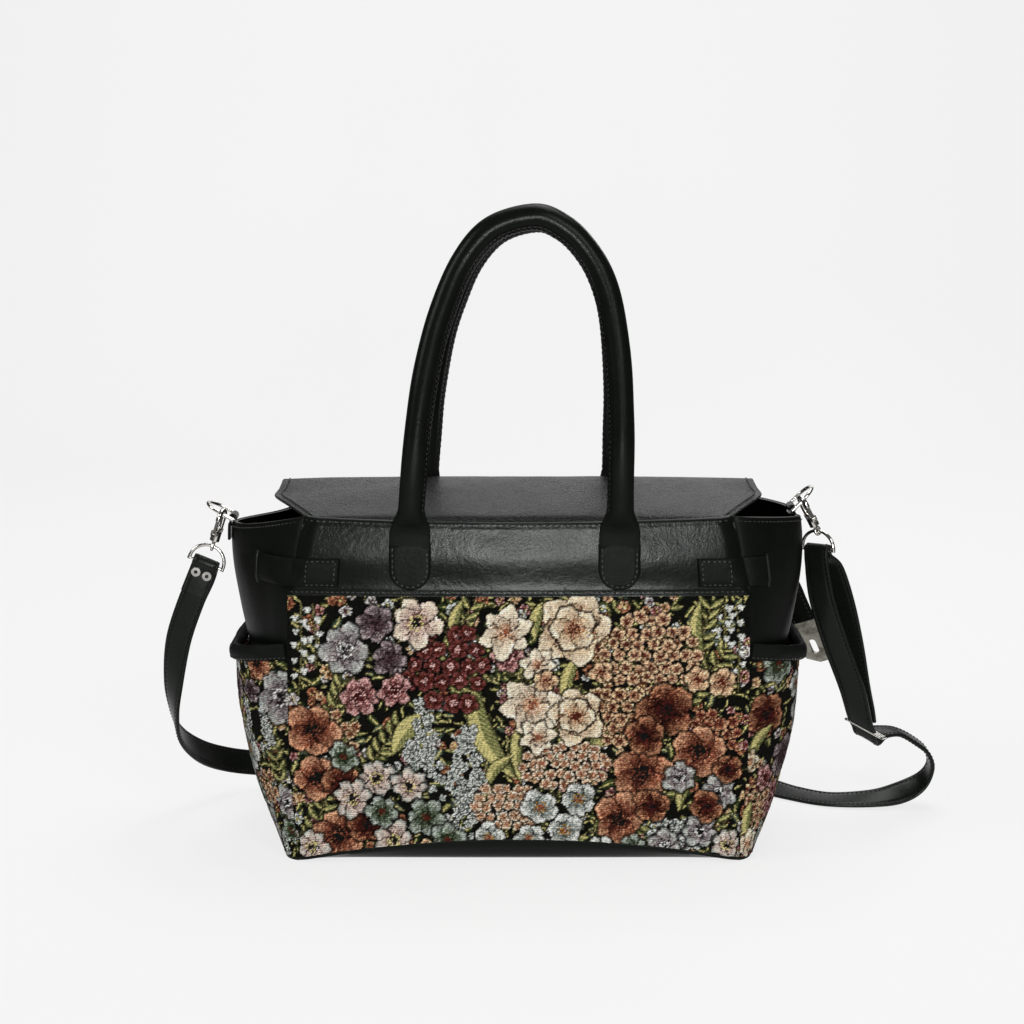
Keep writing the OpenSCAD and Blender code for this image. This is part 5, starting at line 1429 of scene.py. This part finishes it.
def keeper(side, name):
    """A keeper with its sewn box, and the lip of the slit that it goes through."""
    ends = np.linspace(-1, KEEPER_END[side], 16)
    first = np.linspace(1 - KEEPER_FRONT / (PANEL_W / 2), 1, 40)[:-1]
    h = np.linspace(0, 1, 15)
    z = (BODY_H - KEEPER_DROP - KEEPER_W * (1 - h))[None]

    def strip(inset):
        top, low, high = wall_top(first), wall_low(first), end_top(side, ends)
        one = front_wall(side * first[:, None], (z - low[:, None]) / (top - low)[:, None], inset)
        two = gusset(side, ends[:, None], (z - LOW_Z) / (high - LOW_Z)[:, None], inset)
        rows = np.concatenate([one, two])
        return rows if side > 0 else rows[::-1]
    lift = YOKE_LAP + SEAM
    crown = 0.7 * (1 - (2 * h - 1) ** 4)
    near, far = strip(-lift - KEEPER_T + 0.5 - crown[None]), strip(-lift)
    sheet = closed_sheet(f"{name}_keeper_leather", near, far, finish("tab_leather"), 0.4)
    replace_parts(sheet, f"{name}_keeper")
    order = near if side > 0 else near[::-1]
    box = order[2:24]
    loop = np.concatenate([box[:, 1], box[-1, 1:14], box[:, 13][::-1], box[0, 1:14][::-1], box[:1, 1]])
    sew(f"{name}_keeper_stitches", loop + [0, -0.1, 0], np.array([0.0, -1.0, 0.0]), finish("thread"))
    lip = order[-1] + [0, -0.3, 0]
    lip = np.concatenate([lip[:1] - [0, 0, 2.0], lip, lip[-1:] + [0, 0, 2.0]])
    ring = np.array([[1.1 * math.cos(k), 0.9 * math.sin(k)] for k in np.arange(10) * math.pi / 5])
    swept(f"{name}_keeper_lip", lip, np.broadcast_to([1.0, 0.0, 0.0], lip.shape), ring,
          finish("trim_leather" if side < 0 else "edge"))


# Loops of the bag's rings: middle of each ring's bar, its radius and play, then the loop's own sizes
RING_AT = {-1: (-214.79, 245.61), 1: (205.79, 252.61)}
BAG_RING_R, BAG_RING_PLAY = 1.26, 0.05
LOOP_W, LOOP_T, LOOP_HALF = 14.4, 1.8, 0.95
LOOP_R = BAG_RING_R + BAG_RING_PLAY + LOOP_HALF


def ring_loop(side, name):
    x, z = RING_AT[side]
    bend = np.linspace(-0.35 * math.pi, 1.15 * math.pi, 22)
    arc = stack(x + side * np.cos(bend) * LOOP_R, np.zeros_like(bend), z + np.sin(bend) * LOOP_R)
    foot = gusset(side, np.zeros(6), np.linspace(0.945, 0.995, 6), -SEAT - LOOP_HALF)
    path = np.concatenate([foot, arc])
    wide = np.broadcast_to([0.0, 1.0, 0.0], path.shape)
    section = flat_section(LOOP_W, LOOP_T, 0.5)
    tab = swept(f"{name}_ring_tab_leather", path, wide, section, finish("leather"), sharp=60)
    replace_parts(tab, f"{name}_ring_tab")


# Belt: shares of half the panel, half the base depth and the body height, then the width direction
BELT_ROUTE = np.array([
    [0.74, 0, 0, 0, 0, 1], [0.88, -0.006, 0, 0, 0, 1], [1, -0.005, -0.003, 0.05, 0, 1],
    [1.09, 0.02, -0.026, 0.2, 0, 1], [1.19, 0.06, -0.09, 0.5, -0.2, 0.75],
    [1.29, 0.1, -0.18, 0.8, -0.35, 0.45], [1.335, 0.12, -0.24, 0.85, -0.4, 0.35],
    [1.38, 0.13, -0.305, 0.85, -0.4, 0.35]])


def belt():
    z = BODY_H - KEEPER_DROP - KEEPER_W / 2
    y = -float(wall_y(np.array(PANEL_W / 2 * BELT_ROUTE[0, 0]), np.array(z))) + proud(-1) + KEEPER_T / 2
    fine = through(BELT_ROUTE, np.linspace(0, len(BELT_ROUTE) - 1, 160))
    path = stack(fine[:, 0] * PANEL_W / 2, y + fine[:, 1] * BASE_D / 2, z + fine[:, 2] * BODY_H)
    across = unit(fine[:, 3:])
    section = flat_section(KEEPER_W, KEEPER_T, 0.5, 0.25)
    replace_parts(swept("belt_leather", path, across, section, finish("leather"), sharp=60), "belt_strap")
    w, d = frames_along(path, across)
    for edge, row in ((-1, "a"), (1, "b")):
        line = path + w * edge * (KEEPER_W / 2 - STITCH_IN) + d * (KEEPER_T / 2 - 0.1)
        sew(f"belt_stitches_{row}", line, d, finish("thread"))


class TOTE_OT_trim(bpy.types.Operator):
    """Makes the padded pocket bindings, the keepers, the belt and the ring loops"""
    bl_idname = "tote.trim"
    bl_label = "Trim"

    def execute(self, context):
        for side, name in ((-1, "left"), (1, "right")):
            pocket_binding(side, name)
            keeper(side, name)
            ring_loop(side, name)
        belt()
        return {"FINISHED"}


AGED = ("belt_plate", "belt_rivets")
METAL_ENDINGS = ("ring", "hook", "gate", "gate_pin", "swivel", "slider", "rivets", "plate")


class TOTE_OT_metalwork(bpy.types.Operator):
    """Gives the rings, clips, slider, rivets and plate their metal"""
    bl_idname = "tote.metalwork"
    bl_label = "Metalwork"

    def execute(self, context):
        for name, obj in NODES.items():
            if name.endswith(METAL_ENDINGS):
                obj.data.materials.clear()
                obj.data.materials.append(finish("aged" if name in AGED else "nickel"))
        return {"FINISHED"}


class TOTE_PT_panel(bpy.types.Panel):
    """Shows the settings and a button for each step that makes the bag"""
    bl_idname = "TOTE_PT_panel"
    bl_label = "Tapestry tote"
    bl_space_type = "VIEW_3D"
    bl_region_type = "UI"
    bl_category = "Tote"

    def draw(self, context):
        for group in (context.scene.tote_sizes, context.scene.tote_colours):
            for key in group.__annotations__:
                self.layout.prop(group, key)
        for op in OPERATORS:
            self.layout.operator(op.bl_idname)


OPERATORS = (TOTE_OT_stage, TOTE_OT_shoulder_strap, TOTE_OT_metalwork, TOTE_OT_tapestry, TOTE_OT_body_leather,
             TOTE_OT_flap, TOTE_OT_handles, TOTE_OT_trim)
CLASSES = (ToteSizes, ToteColours) + OPERATORS + (TOTE_PT_panel,)


def register():
    for cls in CLASSES:
        bpy.utils.register_class(cls)
    bpy.types.Scene.tote_sizes = bpy.props.PointerProperty(type=ToteSizes)
    bpy.types.Scene.tote_colours = bpy.props.PointerProperty(type=ToteColours)


def unregister():
    del bpy.types.Scene.tote_sizes
    del bpy.types.Scene.tote_colours
    for cls in reversed(CLASSES):
        bpy.utils.unregister_class(cls)


def main():
    register()
    for op in OPERATORS:
        group, name = op.bl_idname.split(".")
        getattr(getattr(bpy.ops, group), name)()
    bpy.context.view_layer.update()


if __name__ == "__main__":
    main()
